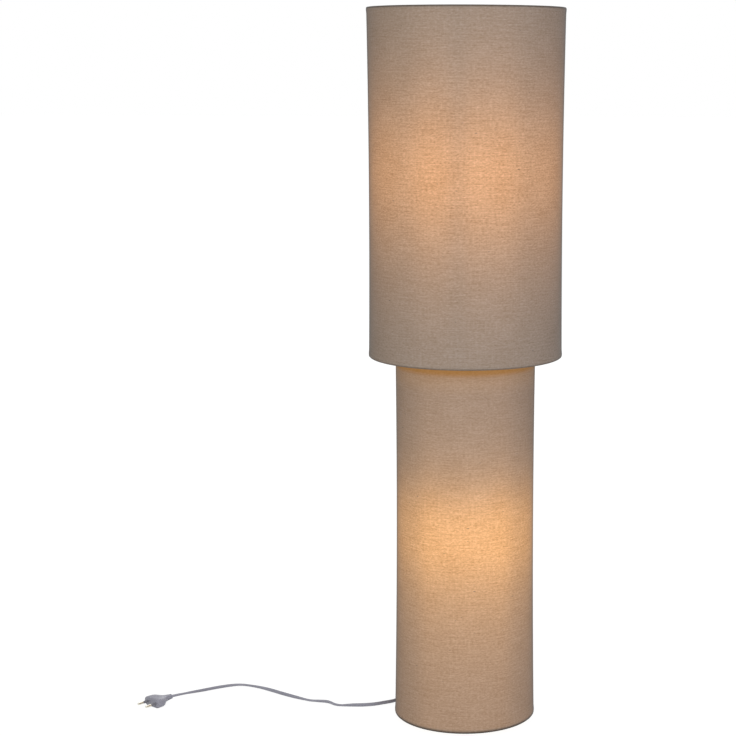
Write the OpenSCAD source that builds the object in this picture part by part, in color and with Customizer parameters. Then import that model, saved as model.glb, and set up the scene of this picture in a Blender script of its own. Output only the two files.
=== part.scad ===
// Column floor lamp: a wide cloth drum over a narrower cloth column that
// stands on the floor, each with its own bulb, on one steel pole.
// Millimetres, +Z up, the front is -Y. The origin is the middle of the base,
// on the floor.

/* [Cloth shades] */
// Outside diameter of the drum's cloth at its top hem
drum_top_d = 284; // [270:1:320]
// Outside diameter of the drum's cloth at its bottom hem
drum_bottom_d = 281; // [270:1:320]
// Height of the drum from hem to hem
drum_h = 500; // [380:10:600]
// How far the drum's cloth draws in halfway up
drum_waist = 1.8; // [0:0.1:4]
// Outside diameter of the column's cloth at its top hem
column_top_d = 204; // [190:1:225]
// Outside diameter of the column's cloth at its bottom hem
column_bottom_d = 208; // [200:1:230]
// Height of the column from hem to hem
column_h = 550; // [450:10:660]
// How far the column's cloth draws in halfway up
column_waist = 2; // [0:0.1:4]
// Height that the drum's bottom hem hangs below the column's top hem
hem_overlap = 10; // [6:1:30]
// Gap between the floor and the column's bottom hem, where the cord passes
rim_gap = 5; // [4.8:0.1:8]
// Thickness of the lined cloth
cloth = 1; // [0.8:0.1:1.6]
// How far a rolled hem stands proud of the cloth
hem_proud = 0.4; // [0.2:0.1:0.8]

/* [Wire frames] */
// Diameter of the steel wire in the rings
wire_d = 4; // [3:0.5:5]
// Number of arms on a ring
arm_count = 3; // [3:1:4]
// Diameter of the pressed hub in the middle of the arms
hub_d = 26; // [22:1:34]
// Thickness of the hub
hub_t = 3; // [2:0.5:4]
// How far the drum's hub lies below its top ring
drum_hub_drop = 20; // [12:1:40]
// How far the column's top hub lies below its ring
column_hub_drop = 6; // [0:1:20]

/* [Pole] */
// Outside diameter of the pole
pole_d = 16; // [15:0.5:18]
// Bore of the pole
pole_bore = 13; // [12.5:0.1:13.5]
// Diameter of the pole's threaded foot
foot_d = 12; // [11:0.5:12.5]
// Diameter of the pole's threaded top
tip_d = 10; // [8:0.5:11]
// Length of the stud that joins the two halves of the pole
stud_len = 40; // [24:2:60]
// Diameter of the round cap nut on top
cap_nut_d = 18; // [15:1:24]
// Height of the cap nut
cap_nut_h = 13; // [10:1:16]

/* [Base] */
// Diameter of the steel base plate
base_d = 170; // [130:1:180]
// Thickness of the base plate
base_t = 14; // [12:1:20]
// Thickness of the soft pad under the plate
pad_t = 3; // [2:0.5:5]
// Diameter of the pocket for the nut in the underside
pocket_d = 44; // [38:1:60]
// Depth of that pocket
pocket_depth = 10; // [9:0.5:11]

/* [Lampholders and bulbs] */
// Height of the lower bulb's brightest point over the floor
lower_light_z = 285; // [240:5:400]
// Height of the upper bulb's brightest point over the floor
upper_light_z = 820; // [720:5:900]
// Outside diameter of a lampholder
holder_d = 39.5; // [36:0.5:44]
// Largest diameter of a bulb
bulb_d = 60; // [55:1:62]
// Gap between the pole and a bulb
bulb_gap = 4; // [3:0.5:10]
// Thickness of the side arm that carries a lampholder
bracket_t = 3; // [2:0.5:4]
// Diameter of the two-core lead to a lampholder
lead_d = 4.4; // [3.6:0.1:4.4]
// Bend radius of that lead
lead_bend = 16; // [12:1:17]

/* [Foot switch] */
// Length of the switch housing
switch_len = 72; // [64:1:90]
// Width of the switch housing
switch_w = 40; // [36:1:48]
// Height of the switch housing without its button
switch_h = 19; // [18:0.5:24]
// Diameter of the foot button
button_d = 18; // [14:0.5:20]
// Height that the button stands above the housing
button_rise = 5; // [4.5:0.5:8]
// Travel of the button
button_travel = 3.5; // [2:0.5:4]
// Distance from the pole's axis to the middle of the switch
switch_y = 190; // [185:1:200]

/* [Cord and plug] */
// Width of the flat two-core cord
cord_w = 5.4; // [5:0.1:6]
// Thickness of the cord
cord_t = 3.3; // [3:0.1:3.6]
// Number of turns in the coil
coil_turns = 6.5; // [3.5:1:8.5]
// Radius of the coil's outermost turn, to the middle of the cord
coil_r = 36; // [34:0.5:42]
// Gap between turns that lie side by side
turn_gap = 0.7; // [0.5:0.1:1.5]
// Diameter of a plug pin
pin_d = 4; // [3.8:0.1:4.2]
// Distance between the two pins
pin_pitch = 18.6; // [17:0.1:19.2]

/* [Hidden] */
$fn = 96;
// Clearance round a part that slides in or passes through another
clear = 0.3;
// Clearance round the foot button
free = 0.4;

// Rolled hems: a wire ring lies in a tube of cloth, and its arms are of thinner wire
arm_d = 0.9 * wire_d;
hem_bore = wire_d / 2 + clear;
hem_r = hem_bore + cloth;
wall_steps = 12;

// Heights of the two shades, and of the rings in their hems
column_z = rim_gap;
column_top_z = column_z + column_h;
drum_z = column_top_z - hem_overlap;
drum_top_z = drum_z + drum_h;
column_low_ring_z = column_z + hem_r;
column_top_ring_z = column_top_z - hem_r;
drum_low_ring_z = drum_z + hem_r;
drum_top_ring_z = drum_top_z - hem_r;

// Heights of what is stacked on the pole
plate_top = pad_t + base_t;
low_hub_z = plate_top;
low_arm_z = low_hub_z + arm_d / 2 + clear;
lower_pole_z = low_hub_z + hub_t;
column_hub_z = column_top_ring_z - column_hub_drop - hub_t / 2;
upper_pole_z = column_hub_z + hub_t;
drum_hub_z = drum_top_ring_z - drum_hub_drop - hub_t / 2;
cap_nut_z = drum_hub_z + hub_t;

// Threaded foot of the pole, in the base plate
foot_bore = 9;
foot_z = 5;
washer_t = 1.6;
washer_d = 26;
nut_h = 6;
nut_d = 21;
nut_top = pad_t + pocket_depth - washer_t;
tip_len = 11;

// Directions of the arms of each frame
drum_arms = 90;
column_arms = 270;
knuckle_proud = 0.8;
arm_reach = base_d / 2 + 4;

// Lampholder, measured up from the top of its side arm
bulb_offset = pole_d / 2 + bulb_gap + bulb_d / 2;
nipple_d = 10;
nipple_bore = 7;
nipple_below = 8;
nipple_above = 9;
locknut_h = 3;
collar_wall = 5;
collar_h = 16;
holder_wall = 2.5;
cap_h = 20;
insert_z = 14;
insert_h = 10;
contact_h = 2;
holder_h = 52;
thread_bore = 27;
thread_wall = 0.6;
thread_h = 25;
bulb_z = insert_z + insert_h + contact_h;
bulb_centre = 80;
lower_arm_z = lower_light_z - bulb_z - bulb_centre;
upper_arm_z = upper_light_z - bulb_z - bulb_centre;

// Bulb, measured up from the tip of its screw cap
bulb_cap_d = 26.2;
bulb_cap_h = 26;
bulb_len = 106;
dome_z = 66;
dome_wall = 1.2;

// Leads, side by side in the pole
lead_y = lead_d / 2 + clear;
lead_slack = 2;
splice_z = 60;
splice_len = 30;
splice_d = 10.5;
slot_w = lead_d + 2;
slot_low = 3;
slot_high = 20;

// Cord through the base plate
channel_w = 8;
channel_z = 6;
cord_z = 2.3;
inner_bend = 7;
gland_in = 15;
gland_flange_w = 12;
gland_flange_h = 6.4;
gland_flange_t = 2;
gland_len = 20;
gland_tip_y = base_d / 2 + clear + gland_flange_t + gland_len;

// Foot switch
switch_split = 9;
neck_len = 4;
switch_end = switch_len / 2 + neck_len;
switch_wall = 2;
neck_w = 9;
neck_h = 6;
button_flange = 2;
button_flange_t = 1.5;
button_bore = 12;
flange_top = switch_h - switch_wall - clear;
press_room = 3.7;
contacts_z = flange_top - button_flange_t - button_travel - press_room;
contacts_w = 22;
contacts_len = 30;
spring_d = 9;
spring_wire = 0.9;
spring_turns = 6;
screw_reach = 26;
boss_d = 7;
switch_cord_z = neck_h / 2;

// Cord coil: two layers, on edge, wound inwards and out again
coil_rest = 1.1;
turn_pitch = cord_t + turn_gap;
layer_pitch = cord_w + turn_gap;
coil_low_z = coil_rest + cord_w / 2;
coil_start_y = switch_y + switch_end + 34;
coil_x = -coil_r;
coil_y = coil_start_y + cord_w;
rings_per_turn = 24;
tie_w = 9;
tie_t = 0.7;
tie_slack = 0.6;

// Plug, lying on its broad side
plug_len = 38;
plug_w = 35.3;
plug_t = 13.7;
pin_len = 19;
plug_turn = 228;

// Middle line of the cord from the base to the switch: x, y, z and roll,
// where a roll of 0 lies flat and 90 stands on edge
lamp_reach = switch_y - switch_end - gland_tip_y;
lamp_end = [[0, gland_tip_y, cord_z, 0], [0, gland_tip_y + lamp_reach * 0.2, cord_z, 0],
    [0, gland_tip_y + lamp_reach * 0.5, 2.5, 0],
    [0, gland_tip_y + lamp_reach * 0.82, switch_cord_z, 0],
    [0, gland_tip_y + lamp_reach, switch_cord_z, 0]];

// From the switch to the coil
switch_side = [[0, switch_y + switch_end, switch_cord_z, 0],
    [0, switch_y + switch_end + 7, switch_cord_z, 0],
    [0, switch_y + switch_end + 14, 3.2, 24], [0, switch_y + switch_end + 21, 3.5, 62],
    [0, coil_start_y - 6, coil_low_z, 88], [0, coil_start_y, coil_low_z, 90]];

// From the coil round the column and across the floor to the plug
plug_end_route = [[-75, 220, 2.8, 90], [-82, 184, 2.8, 90], [-90, 145, 2.8, 90],
    [-97, 98, 2.8, 90], [-100.4, 60.5, 2.8, 90], [-102.5, 52.9, 2.8, 90], [-107, 46.3, 2.8, 90],
    [-113, 41.8, 2.8, 90], [-124, 36, 2.8, 90], [-138, 29.3, 2.8, 90], [-154, 25.8, 2.8, 88],
    [-168, 25.2, 2.8, 72], [-177.5, 25.2, 2.5, 44], [-185.5, 25.4, 2.2, 22],
    [-191.7, 26.3, 2.3, 26], [-197.4, 29.2, 2.5, 42], [-201.8, 33.6, 2.7, 54],
    [-206.9, 38.5, 2.8, 58], [-213.2, 41.3, 2.8, 54], [-223, 43.4, 2.6, 38],
    [-236, 47.2, 2.2, 14], [-250, 54.4, 2.6, 46], [-266, 65, 2.8, 78], [-283, 77.8, 2.8, 90],
    [-300, 91.6, 2.8, 86], [-317, 103.8, 2.7, 52], [-332, 112.3, 2.4, 30],
    [-346, 117.4, 2.4, 26], [-357, 117.2, 2.5, 34], [-370, 112.3, 2.7, 50],
    [-387, 103.2, 2.8, 60], [-404, 92.4, 2.8, 58], [-421, 79.4, 3.7, 40], [-438, 63, 5.6, 10]];
plug_x = -449;
plug_y = 51;
plug_z = plug_t / 2;

// ------------------------------------------------------------------ helpers

// Outside radius of a shade at t, from 0 at the bottom hem to 1 at the top
function shade_r(t, d0, d1, waist) =
    (d0 * (1 - t) + d1 * t) / 2 - 4 * waist * t * (1 - t);

// Radius of the wire ring in a hem
function ring_r(d) = d / 2 + hem_proud - hem_r;

// A rod from point p to point q
module rod(p, q, d) {
    v = q - p;
    translate(p)
        rotate([0, acos(v.z / norm(v)), atan2(v.y, v.x)])
            cylinder(d = d, h = norm(v));
}

// A straight arm from the hub at height z out along +X to a ring
module straight_arm(z, ring, ring_z, d) {
    rod([hub_d / 2 - 2, 0, z], [ring, 0, ring_z], d);
}

// An arm that runs level past the base plate, then slants down to a ring; its
// bend is a forged knuckle, a little thicker than the wire
module bent_arm(z, ring, ring_z, d) {
    rod([hub_d / 2 - 2, 0, z], [arm_reach, 0, z], d);
    translate([arm_reach, 0, z]) sphere(d = d + knuckle_proud, $fn = 48);
    rod([arm_reach, 0, z], [ring, 0, ring_z], d);
}

module at_arms(first) {
    for (i = [0 : arm_count - 1])
        rotate(first + i * 360 / arm_count) children();
}

module wire_ring(r, z) {
    translate([0, 0, z])
        rotate_extrude() translate([r, 0]) circle(d = wire_d, $fn = 32);
}

// A flat hub with a hole for the pole
module hub(z, hole) {
    translate([0, 0, z])
        difference() {
            cylinder(d = hub_d, h = hub_t);
            translate([0, 0, -1]) cylinder(d = hole, h = hub_t + 2);
        }
}

// A cloth tube with a rolled hem round each ring
module shade(d0, d1, waist, z0, h) {
    low = z0 + hem_r;
    high = z0 + h - hem_r;
    outer = [for (i = [0 : wall_steps]) let (t = i / wall_steps)
        [shade_r(t, d0, d1, waist), low + (high - low) * t]];
    inner = [for (i = [wall_steps : -1 : 0]) outer[i] - [cloth, 0]];
    rotate_extrude()
        difference() {
            union() {
                polygon(concat(outer, inner));
                translate([ring_r(d0), low]) circle(r = hem_r, $fn = 48);
                translate([ring_r(d1), high]) circle(r = hem_r, $fn = 48);
            }
            translate([ring_r(d0), low]) circle(r = hem_bore, $fn = 48);
            translate([ring_r(d1), high]) circle(r = hem_bore, $fn = 48);
        }
}

// Cross-section of the flat cord: two round cores side by side
module cord_section() {
    for (side = [-1, 1])
        translate([side * (cord_w - cord_t) / 2, 0]) circle(d = cord_t, $fn = 32);
    square([cord_w - cord_t, cord_t], center = true);
}

// Points of the cord's section for a swept tube, with eight or six corners
function section8() = [for (c = [[1, 0.41], [0.62, 1], [-0.62, 1], [-1, 0.41],
    [-1, -0.41], [-0.62, -1], [0.62, -1], [1, -0.41]])
    [c.x * cord_w / 2, c.y * cord_t / 2]];
function section6() = [[cord_w / 2, 0], [cord_w / 4, cord_t / 2],
    [-cord_w / 4, cord_t / 2], [-cord_w / 2, 0], [-cord_w / 4, -cord_t / 2],
    [cord_w / 4, -cord_t / 2]];

function unit(v) = v / norm(v);
function place(p) = [p.x, p.y, p.z];

// Direction of a route at point i; first and last give the end directions
function heading(pts, i, first, last) =
    i == 0 ? first :
    i == len(pts) - 1 ? last :
    unit(place(pts[i + 1]) - place(pts[i - 1]));

// One ring of a swept cord: corners are turned by the roll about the heading
function cord_ring(p, dir, section) =
    let (side = unit(cross([0, 0, 1], dir)), up = cross(dir, side))
    [for (c = section) place(p)
        + side * (c.x * cos(p[3]) - c.y * sin(p[3]))
        + up * (c.x * sin(p[3]) + c.y * cos(p[3]))];

// A closed tube through rings of the same number of points
module skin(rings) {
    n = len(rings[0]);
    last = len(rings) - 1;
    points = [for (r = rings) for (p = r) p];
    walls = [for (i = [0 : last - 1]) for (k = [0 : n - 1])
        let (a = i * n + k, b = i * n + (k + 1) % n)
        each [[a, b, b + n], [a, b + n, a + n]]];
    start = [for (k = [1 : n - 2]) [0, k + 1, k]];
    end = [for (k = [1 : n - 2]) [last * n, last * n + k, last * n + k + 1]];
    polyhedron(points = points, faces = concat(start, walls, end));
}

module free_cord(pts, first, last) {
    skin([for (i = [0 : len(pts) - 1])
        cord_ring(pts[i], heading(pts, i, first, last), section8())]);
}

function route_length(pts, i = 1) =
    i >= len(pts) ? 0 : norm(place(pts[i]) - place(pts[i - 1])) + route_length(pts, i + 1);

// --------------------------------------------------------------------- base

module base_pad() color([0.12, 0.12, 0.12]) {
    difference() {
        cylinder(d = base_d - 6, h = pad_t);
        translate([0, 0, -1]) cylinder(d = pocket_d, h = pad_t + 2);
        translate([-channel_w / 2, 0, -1]) cube([channel_w, base_d, pad_t + 2]);
    }
}

module base_plate() color([0.2, 0.2, 0.21]) {
    edge = 1.5;
    difference() {
        rotate_extrude()
            polygon([[0, pad_t], [base_d / 2, pad_t], [base_d / 2, plate_top - edge],
                [base_d / 2 - edge, plate_top], [0, plate_top]]);
        translate([0, 0, pad_t - 1]) cylinder(d = pocket_d, h = pocket_depth + 1);
        cylinder(d = foot_d + 2 * clear, h = plate_top + 1);
        translate([-channel_w / 2, 0, pad_t - 1])
            cube([channel_w, base_d, channel_z - pad_t + 1]);
    }
}

module base_washer() color([0.7, 0.7, 0.72]) {
    translate([0, 0, nut_top])
        difference() {
            cylinder(d = washer_d, h = washer_t);
            translate([0, 0, -1]) cylinder(d = foot_d + 2 * clear, h = washer_t + 2);
        }
}

module base_nut() color([0.7, 0.7, 0.72]) {
    translate([0, 0, nut_top - nut_h])
        difference() {
            cylinder(d = nut_d, h = nut_h, $fn = 6);
            translate([0, 0, -1]) cylinder(d = foot_d + 0.2, h = nut_h + 2);
        }
}

// --------------------------------------------------------------------- pole

// Slot in the back of the pole where a lead comes out, above height z
module lead_slot(z) {
    translate([0, 0, z + slot_low])
        rotate([-90, 0, 0]) cylinder(d = slot_w, h = pole_d, $fn = 32);
    translate([0, 0, z + slot_high])
        rotate([-90, 0, 0]) cylinder(d = slot_w, h = pole_d, $fn = 32);
    translate([-slot_w / 2, 0, z + slot_low])
        cube([slot_w, pole_d, slot_high - slot_low]);
}

// Height at which a lead starts to bend out of the pole to reach an arm
function lead_turn_z(arm_z) = arm_z - nipple_below - 2 * lead_bend - lead_slack;

module lower_pole() color([0.85, 0.85, 0.86]) {
    difference() {
        union() {
            translate([0, 0, lower_pole_z])
                cylinder(d = pole_d, h = column_hub_z - lower_pole_z);
            translate([0, 0, foot_z]) cylinder(d = foot_d, h = lower_pole_z - foot_z + 1);
        }
        cylinder(d = foot_bore, h = lower_pole_z + 5);
        translate([0, 0, lower_pole_z + 4]) cylinder(d = pole_bore, h = column_hub_z);
        lead_slot(lead_turn_z(lower_arm_z));
    }
}

// Hollow stud, screwed into both halves
module pole_stud() color([0.75, 0.68, 0.45]) {
    translate([0, 0, column_hub_z + (hub_t - stud_len) / 2])
        difference() {
            cylinder(d = pole_bore - 0.2, h = stud_len);
            translate([0, 0, -1]) cylinder(d = 10.4, h = stud_len + 2);
        }
}

module upper_pole() color([0.85, 0.85, 0.86]) {
    difference() {
        union() {
            translate([0, 0, upper_pole_z])
                cylinder(d = pole_d, h = drum_hub_z - upper_pole_z);
            translate([0, 0, drum_hub_z - 1]) cylinder(d = tip_d, h = hub_t + tip_len + 1);
        }
        translate([0, 0, upper_pole_z - 1])
            cylinder(d = pole_bore, h = drum_hub_z - upper_pole_z - 5);
        lead_slot(lead_turn_z(upper_arm_z));
    }
}

// Round nut with a domed top, closed over the threaded tip
module cap_nut() color([0.85, 0.85, 0.86]) {
    r = cap_nut_d / 2;
    dome = 3;
    translate([0, 0, cap_nut_z])
        difference() {
            rotate_extrude()
                polygon([[0, 0], [r - 0.8, 0], [r, 0.8], [r, cap_nut_h - dome],
                    [r * 0.9, cap_nut_h - dome * 0.5], [r * 0.7, cap_nut_h - dome * 0.15],
                    [r * 0.4, cap_nut_h], [0, cap_nut_h]]);
            translate([0, 0, -1]) cylinder(d = tip_d + 0.2, h = tip_len + 1.2);
        }
}

// ------------------------------------------------------------------- shades

// The column's lower ring, carried by three arms that clear the base plate
module column_bottom_arms(d) {
    at_arms(column_arms)
        bent_arm(low_arm_z, ring_r(column_bottom_d), column_low_ring_z, d);
}

module column_bottom_frame() color([0.8, 0.8, 0.8]) {
    wire_ring(ring_r(column_bottom_d), column_low_ring_z);
    column_bottom_arms(arm_d);
    hub(low_hub_z, foot_d + 2 * clear);
}

// The column's upper ring, clamped between the two halves of the pole
module column_top_arms(d) {
    at_arms(column_arms)
        straight_arm(column_hub_z + hub_t / 2, ring_r(column_top_d), column_top_ring_z, d);
}

module column_top_frame() color([0.8, 0.8, 0.8]) {
    wire_ring(ring_r(column_top_d), column_top_ring_z);
    column_top_arms(arm_d);
    hub(column_hub_z, pole_bore + clear);
}

// The drum's upper ring, which hangs the drum on the top of the pole
module drum_top_arms(d) {
    at_arms(drum_arms)
        straight_arm(drum_hub_z + hub_t / 2, ring_r(drum_top_d), drum_top_ring_z, d);
}

module drum_top_frame() color([0.8, 0.8, 0.8]) {
    wire_ring(ring_r(drum_top_d), drum_top_ring_z);
    drum_top_arms(arm_d);
    hub(drum_hub_z, tip_d + clear);
}

module drum_bottom_ring() color([0.8, 0.8, 0.8]) {
    wire_ring(ring_r(drum_bottom_d), drum_low_ring_z);
}

// Where the arms reach a ring, the hem is cut away round the wire
module column_cloth() color([0.72, 0.62, 0.5]) {
    difference() {
        shade(column_bottom_d, column_top_d, column_waist, column_z, column_h);
        column_bottom_arms(arm_d + 4 * clear);
        column_top_arms(arm_d + 4 * clear);
    }
}

module drum_cloth() color([0.72, 0.62, 0.5]) {
    difference() {
        shade(drum_bottom_d, drum_top_d, drum_waist, drum_z, drum_h);
        drum_top_arms(arm_d + 4 * clear);
    }
}

// -------------------------------------------------- side arms, lampholders

// A split collar on the pole with a flat tongue that ends in a ring
module bracket(z) {
    tongue_w = 18;
    collar_d = pole_d + 2 * collar_wall;
    translate([0, 0, z - bracket_t])
        difference() {
            union() {
                translate([0, 0, bracket_t - collar_h]) cylinder(d = collar_d, h = collar_h);
                translate([-tongue_w / 2, 0, 0]) cube([tongue_w, bulb_offset, bracket_t]);
                translate([0, bulb_offset, 0]) cylinder(d = tongue_w, h = bracket_t);
            }
            translate([0, 0, -collar_h]) cylinder(d = pole_d + 0.2, h = 2 * collar_h);
            translate([0, bulb_offset, -1]) cylinder(d = nipple_d + 0.4, h = bracket_t + 2);
            translate([0, 0, bracket_t - collar_h / 2])
                rotate([90, 0, 0]) cylinder(d = 4.2, h = collar_d, $fn = 32);
            translate([-1, pole_d / 2 - 1, bracket_t - collar_h - 1])
                cube([2, collar_wall + 2, collar_h - bracket_t + 1]);
        }
}

module lower_bracket() color([0.7, 0.7, 0.7]) bracket(lower_arm_z);
module upper_bracket() color([0.7, 0.7, 0.7]) bracket(upper_arm_z);

// Threaded tube through the tongue, with the locknut under it
module nipple(z) {
    translate([0, bulb_offset, z])
        difference() {
            union() {
                translate([0, 0, -nipple_below])
                    cylinder(d = nipple_d, h = nipple_below + nipple_above);
                translate([0, 0, -bracket_t - locknut_h])
                    cylinder(d = nipple_d + 6, h = locknut_h, $fn = 6);
            }
            translate([0, 0, -nipple_below - 1])
                cylinder(d = nipple_bore, h = nipple_below + nipple_above + 2);
        }
}

module lower_nipple() color([0.75, 0.68, 0.45]) nipple(lower_arm_z);
module upper_nipple() color([0.75, 0.68, 0.45]) nipple(upper_arm_z);

// Cup that the lead comes up into; a step inside carries the insert
module holder_cap(z) {
    r = holder_d / 2;
    step = 3;
    translate([0, bulb_offset, z])
        difference() {
            rotate_extrude()
                polygon([[0, 0], [r - 6, 0], [r - 2, 1.5], [r, 6], [r, cap_h], [0, cap_h]]);
            translate([0, 0, 3]) cylinder(r = r - holder_wall - step, h = cap_h);
            translate([0, 0, insert_z]) cylinder(r = r - holder_wall, h = cap_h);
            translate([0, 0, -1]) cylinder(d = nipple_d + 0.4, h = 6);
        }
}

module lower_holder_cap() color([0.12, 0.12, 0.12]) holder_cap(lower_arm_z);
module upper_holder_cap() color([0.12, 0.12, 0.12]) holder_cap(upper_arm_z);

// Ceramic disc with the centre contact on top and two holes for the cores
module holder_insert(z) {
    core_hole = 2.4;
    translate([0, bulb_offset, z + insert_z])
        difference() {
            union() {
                cylinder(d = holder_d - 2 * holder_wall - 2 * clear, h = insert_h);
                translate([0, 0, insert_h]) cylinder(d = 6, h = contact_h);
            }
            for (side = [-1, 1])
                translate([side * 9, 0, -1]) cylinder(d = core_hole, h = insert_h + 2, $fn = 32);
        }
}

module lower_holder_insert() color([0.93, 0.92, 0.88]) holder_insert(lower_arm_z);
module upper_holder_insert() color([0.93, 0.92, 0.88]) holder_insert(upper_arm_z);

// Brass sleeve that takes the bulb's screw cap
module holder_thread(z) {
    translate([0, bulb_offset, z + insert_z + insert_h])
        difference() {
            cylinder(d = thread_bore + 2 * thread_wall, h = thread_h);
            translate([0, 0, -1]) cylinder(d = thread_bore, h = thread_h + 2);
        }
}

module lower_holder_thread() color([0.8, 0.68, 0.35]) holder_thread(lower_arm_z);
module upper_holder_thread() color([0.8, 0.68, 0.35]) holder_thread(upper_arm_z);

// Outer sleeve with grip ribs, which holds the insert down
module holder_shell(z) {
    r = holder_d / 2;
    rib_count = 24;
    rib_proud = 0.6;
    recess_h = insert_z + insert_h - cap_h;
    translate([0, bulb_offset, z + cap_h])
        difference() {
            union() {
                cylinder(r = r - rib_proud, h = holder_h - cap_h);
                for (i = [0 : rib_count - 1])
                    rotate(i * 360 / rib_count)
                        translate([r - 2, -0.8, 3])
                            cube([2, 1.6, holder_h - cap_h - 8]);
            }
            translate([0, 0, -1]) cylinder(r = r - holder_wall, h = recess_h + 1);
            translate([0, 0, -1]) cylinder(r = thread_bore / 2 + 2, h = holder_h);
        }
}

module lower_holder_shell() color([0.12, 0.12, 0.12]) holder_shell(lower_arm_z);
module upper_holder_shell() color([0.12, 0.12, 0.12]) holder_shell(upper_arm_z);

// ------------------------------------------------------------------- bulbs

module at_bulb(arm_z) {
    translate([0, bulb_offset, arm_z + bulb_z]) children();
}

// Outside radius of the bulb's dome at height z over the cap's tip
function dome_r(z) = sqrt(pow(bulb_d / 2, 2) - pow(z - (bulb_len - bulb_d / 2), 2));

module bulb_cap() {
    rotate_extrude()
        polygon([[0, 0], [4.5, 0], [5.5, 1.5], [bulb_cap_d / 2 - 1, 5],
            [bulb_cap_d / 2, 6.5], [bulb_cap_d / 2, bulb_cap_h], [0, bulb_cap_h]]);
}

// White collar that widens from the cap to the dome
module bulb_body() {
    rotate_extrude()
        polygon([[0, bulb_cap_h], [bulb_cap_d / 2 - 0.3, bulb_cap_h],
            [bulb_cap_d / 2 + 0.4, bulb_cap_h + 3], [16.5, 37], [20.5, 46],
            [24.5, 55], [dome_r(dome_z) - 0.6, dome_z - 1.5], [dome_r(dome_z), dome_z],
            [0, dome_z]]);
}

module bulb_dome() {
    steps = 16;
    outer = [for (i = [0 : steps - 1])
        let (a = asin((dome_z - bulb_len + bulb_d / 2) / (bulb_d / 2)), b = a + (90 - a) * i / steps)
        [bulb_d / 2 * cos(b), bulb_len - bulb_d / 2 + bulb_d / 2 * sin(b)]];
    inner_r = bulb_d / 2 - dome_wall;
    difference() {
        rotate_extrude()
            polygon(concat(outer, [[0, bulb_len], [0, dome_z]]));
        translate([0, 0, bulb_len - bulb_d / 2])
            intersection() {
                sphere(r = inner_r);
                translate([0, 0, dome_z - bulb_len + bulb_d / 2 - 1]) cylinder(r = bulb_d, h = bulb_d);
            }
    }
}

module lower_bulb_cap() color([0.75, 0.75, 0.76]) at_bulb(lower_arm_z) bulb_cap();
module lower_bulb_body() color([0.95, 0.95, 0.93]) at_bulb(lower_arm_z) bulb_body();
module lower_bulb_dome() color([1, 0.92, 0.75]) at_bulb(lower_arm_z) bulb_dome();
module upper_bulb_cap() color([0.75, 0.75, 0.76]) at_bulb(upper_arm_z) bulb_cap();
module upper_bulb_body() color([0.95, 0.95, 0.93]) at_bulb(upper_arm_z) bulb_body();
module upper_bulb_dome() color([1, 0.92, 0.75]) at_bulb(upper_arm_z) bulb_dome();

// ------------------------------------------------------------------- wiring

// A quarter of a ring in the plane of Y and Z: out starts upwards and turns
// to +Y, back starts along +Y and turns upwards
module turn_out(r) {
    translate([0, r, 0])
        rotate([90, 0, -90]) rotate_extrude(angle = 90) translate([r, 0]) children();
}

module turn_back(r) {
    translate([0, 0, r])
        rotate([-90, 0, 90]) rotate_extrude(angle = 90) translate([r, 0]) children();
}

// A lead: up inside the pole, out of its slot, and up into the lampholder
module lead(y, arm_z) {
    z = lead_turn_z(arm_z);
    low = splice_z + splice_len;
    level = bulb_offset - y - 2 * lead_bend;
    translate([0, y, low]) cylinder(d = lead_d, h = z - low, $fn = 32);
    translate([0, y, z]) turn_out(lead_bend) circle(d = lead_d, $fn = 32);
    translate([0, y + lead_bend, z + lead_bend])
        rotate([-90, 0, 0]) cylinder(d = lead_d, h = level, $fn = 32);
    translate([0, bulb_offset - lead_bend, z + lead_bend])
        turn_back(lead_bend) circle(d = lead_d, $fn = 32);
    translate([0, bulb_offset, z + 2 * lead_bend])
        cylinder(d = lead_d, h = lead_slack + nipple_below + nipple_above, $fn = 32);
}

module lower_lead() color([0.9, 0.9, 0.88]) lead(lead_y, lower_arm_z);
module upper_lead() color([0.9, 0.9, 0.88]) lead(-lead_y, upper_arm_z);

module bracket_screws() color([0.6, 0.6, 0.62]) {
    for (z = [lower_arm_z, upper_arm_z])
        translate([0, -pole_d / 2, z - collar_h / 2])
            rotate([90, 0, 0]) {
                cylinder(d = 4, h = collar_wall + 3, $fn = 32);
                translate([0, 0, collar_wall + 0.2]) cylinder(d = 7, h = 3, $fn = 32);
            }
}

// The mains cord from the strain relief, under the nut and up into the pole
module inner_cord() color([0.75, 0.75, 0.78]) {
    gland_y = base_d / 2 - gland_in;
    translate([0, gland_y, cord_z])
        rotate([90, 0, 0]) linear_extrude(gland_y - inner_bend) cord_section();
    translate([0, inner_bend, cord_z]) rotate(180)
        turn_back(inner_bend) rotate(90) cord_section();
    translate([0, 0, cord_z + inner_bend])
        linear_extrude(splice_z - cord_z - inner_bend) cord_section();
}

module wire_splice() color([0.15, 0.15, 0.15]) {
    translate([0, 0, splice_z]) cylinder(d = splice_d, h = splice_len);
}

// Moulded strain relief: a block in the plate's channel, a flange and a taper
module cord_gland() color([0.72, 0.72, 0.75]) {
    block_w = channel_w - 2 * clear;
    block_h = channel_z - 2 * clear;
    taper_w = 8.4;
    taper_h = 4.4;
    tip_w = cord_w + 0.8;
    tip_h = cord_t + 0.7;
    y = base_d / 2;
    translate([-block_w / 2, y - gland_in, clear])
        cube([block_w, gland_in + 2 * clear, block_h]);
    translate([-gland_flange_w / 2, y + clear, 0.2])
        cube([gland_flange_w, gland_flange_t, gland_flange_h]);
    hull() {
        translate([-taper_w / 2, y + clear + 1, cord_z - 2.1])
            cube([taper_w, 1, taper_h]);
        translate([-tip_w / 2, gland_tip_y - 1, cord_z - tip_h / 2])
            cube([tip_w, 1, tip_h]);
    }
}

// -------------------------------------------------------------- foot switch

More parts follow.
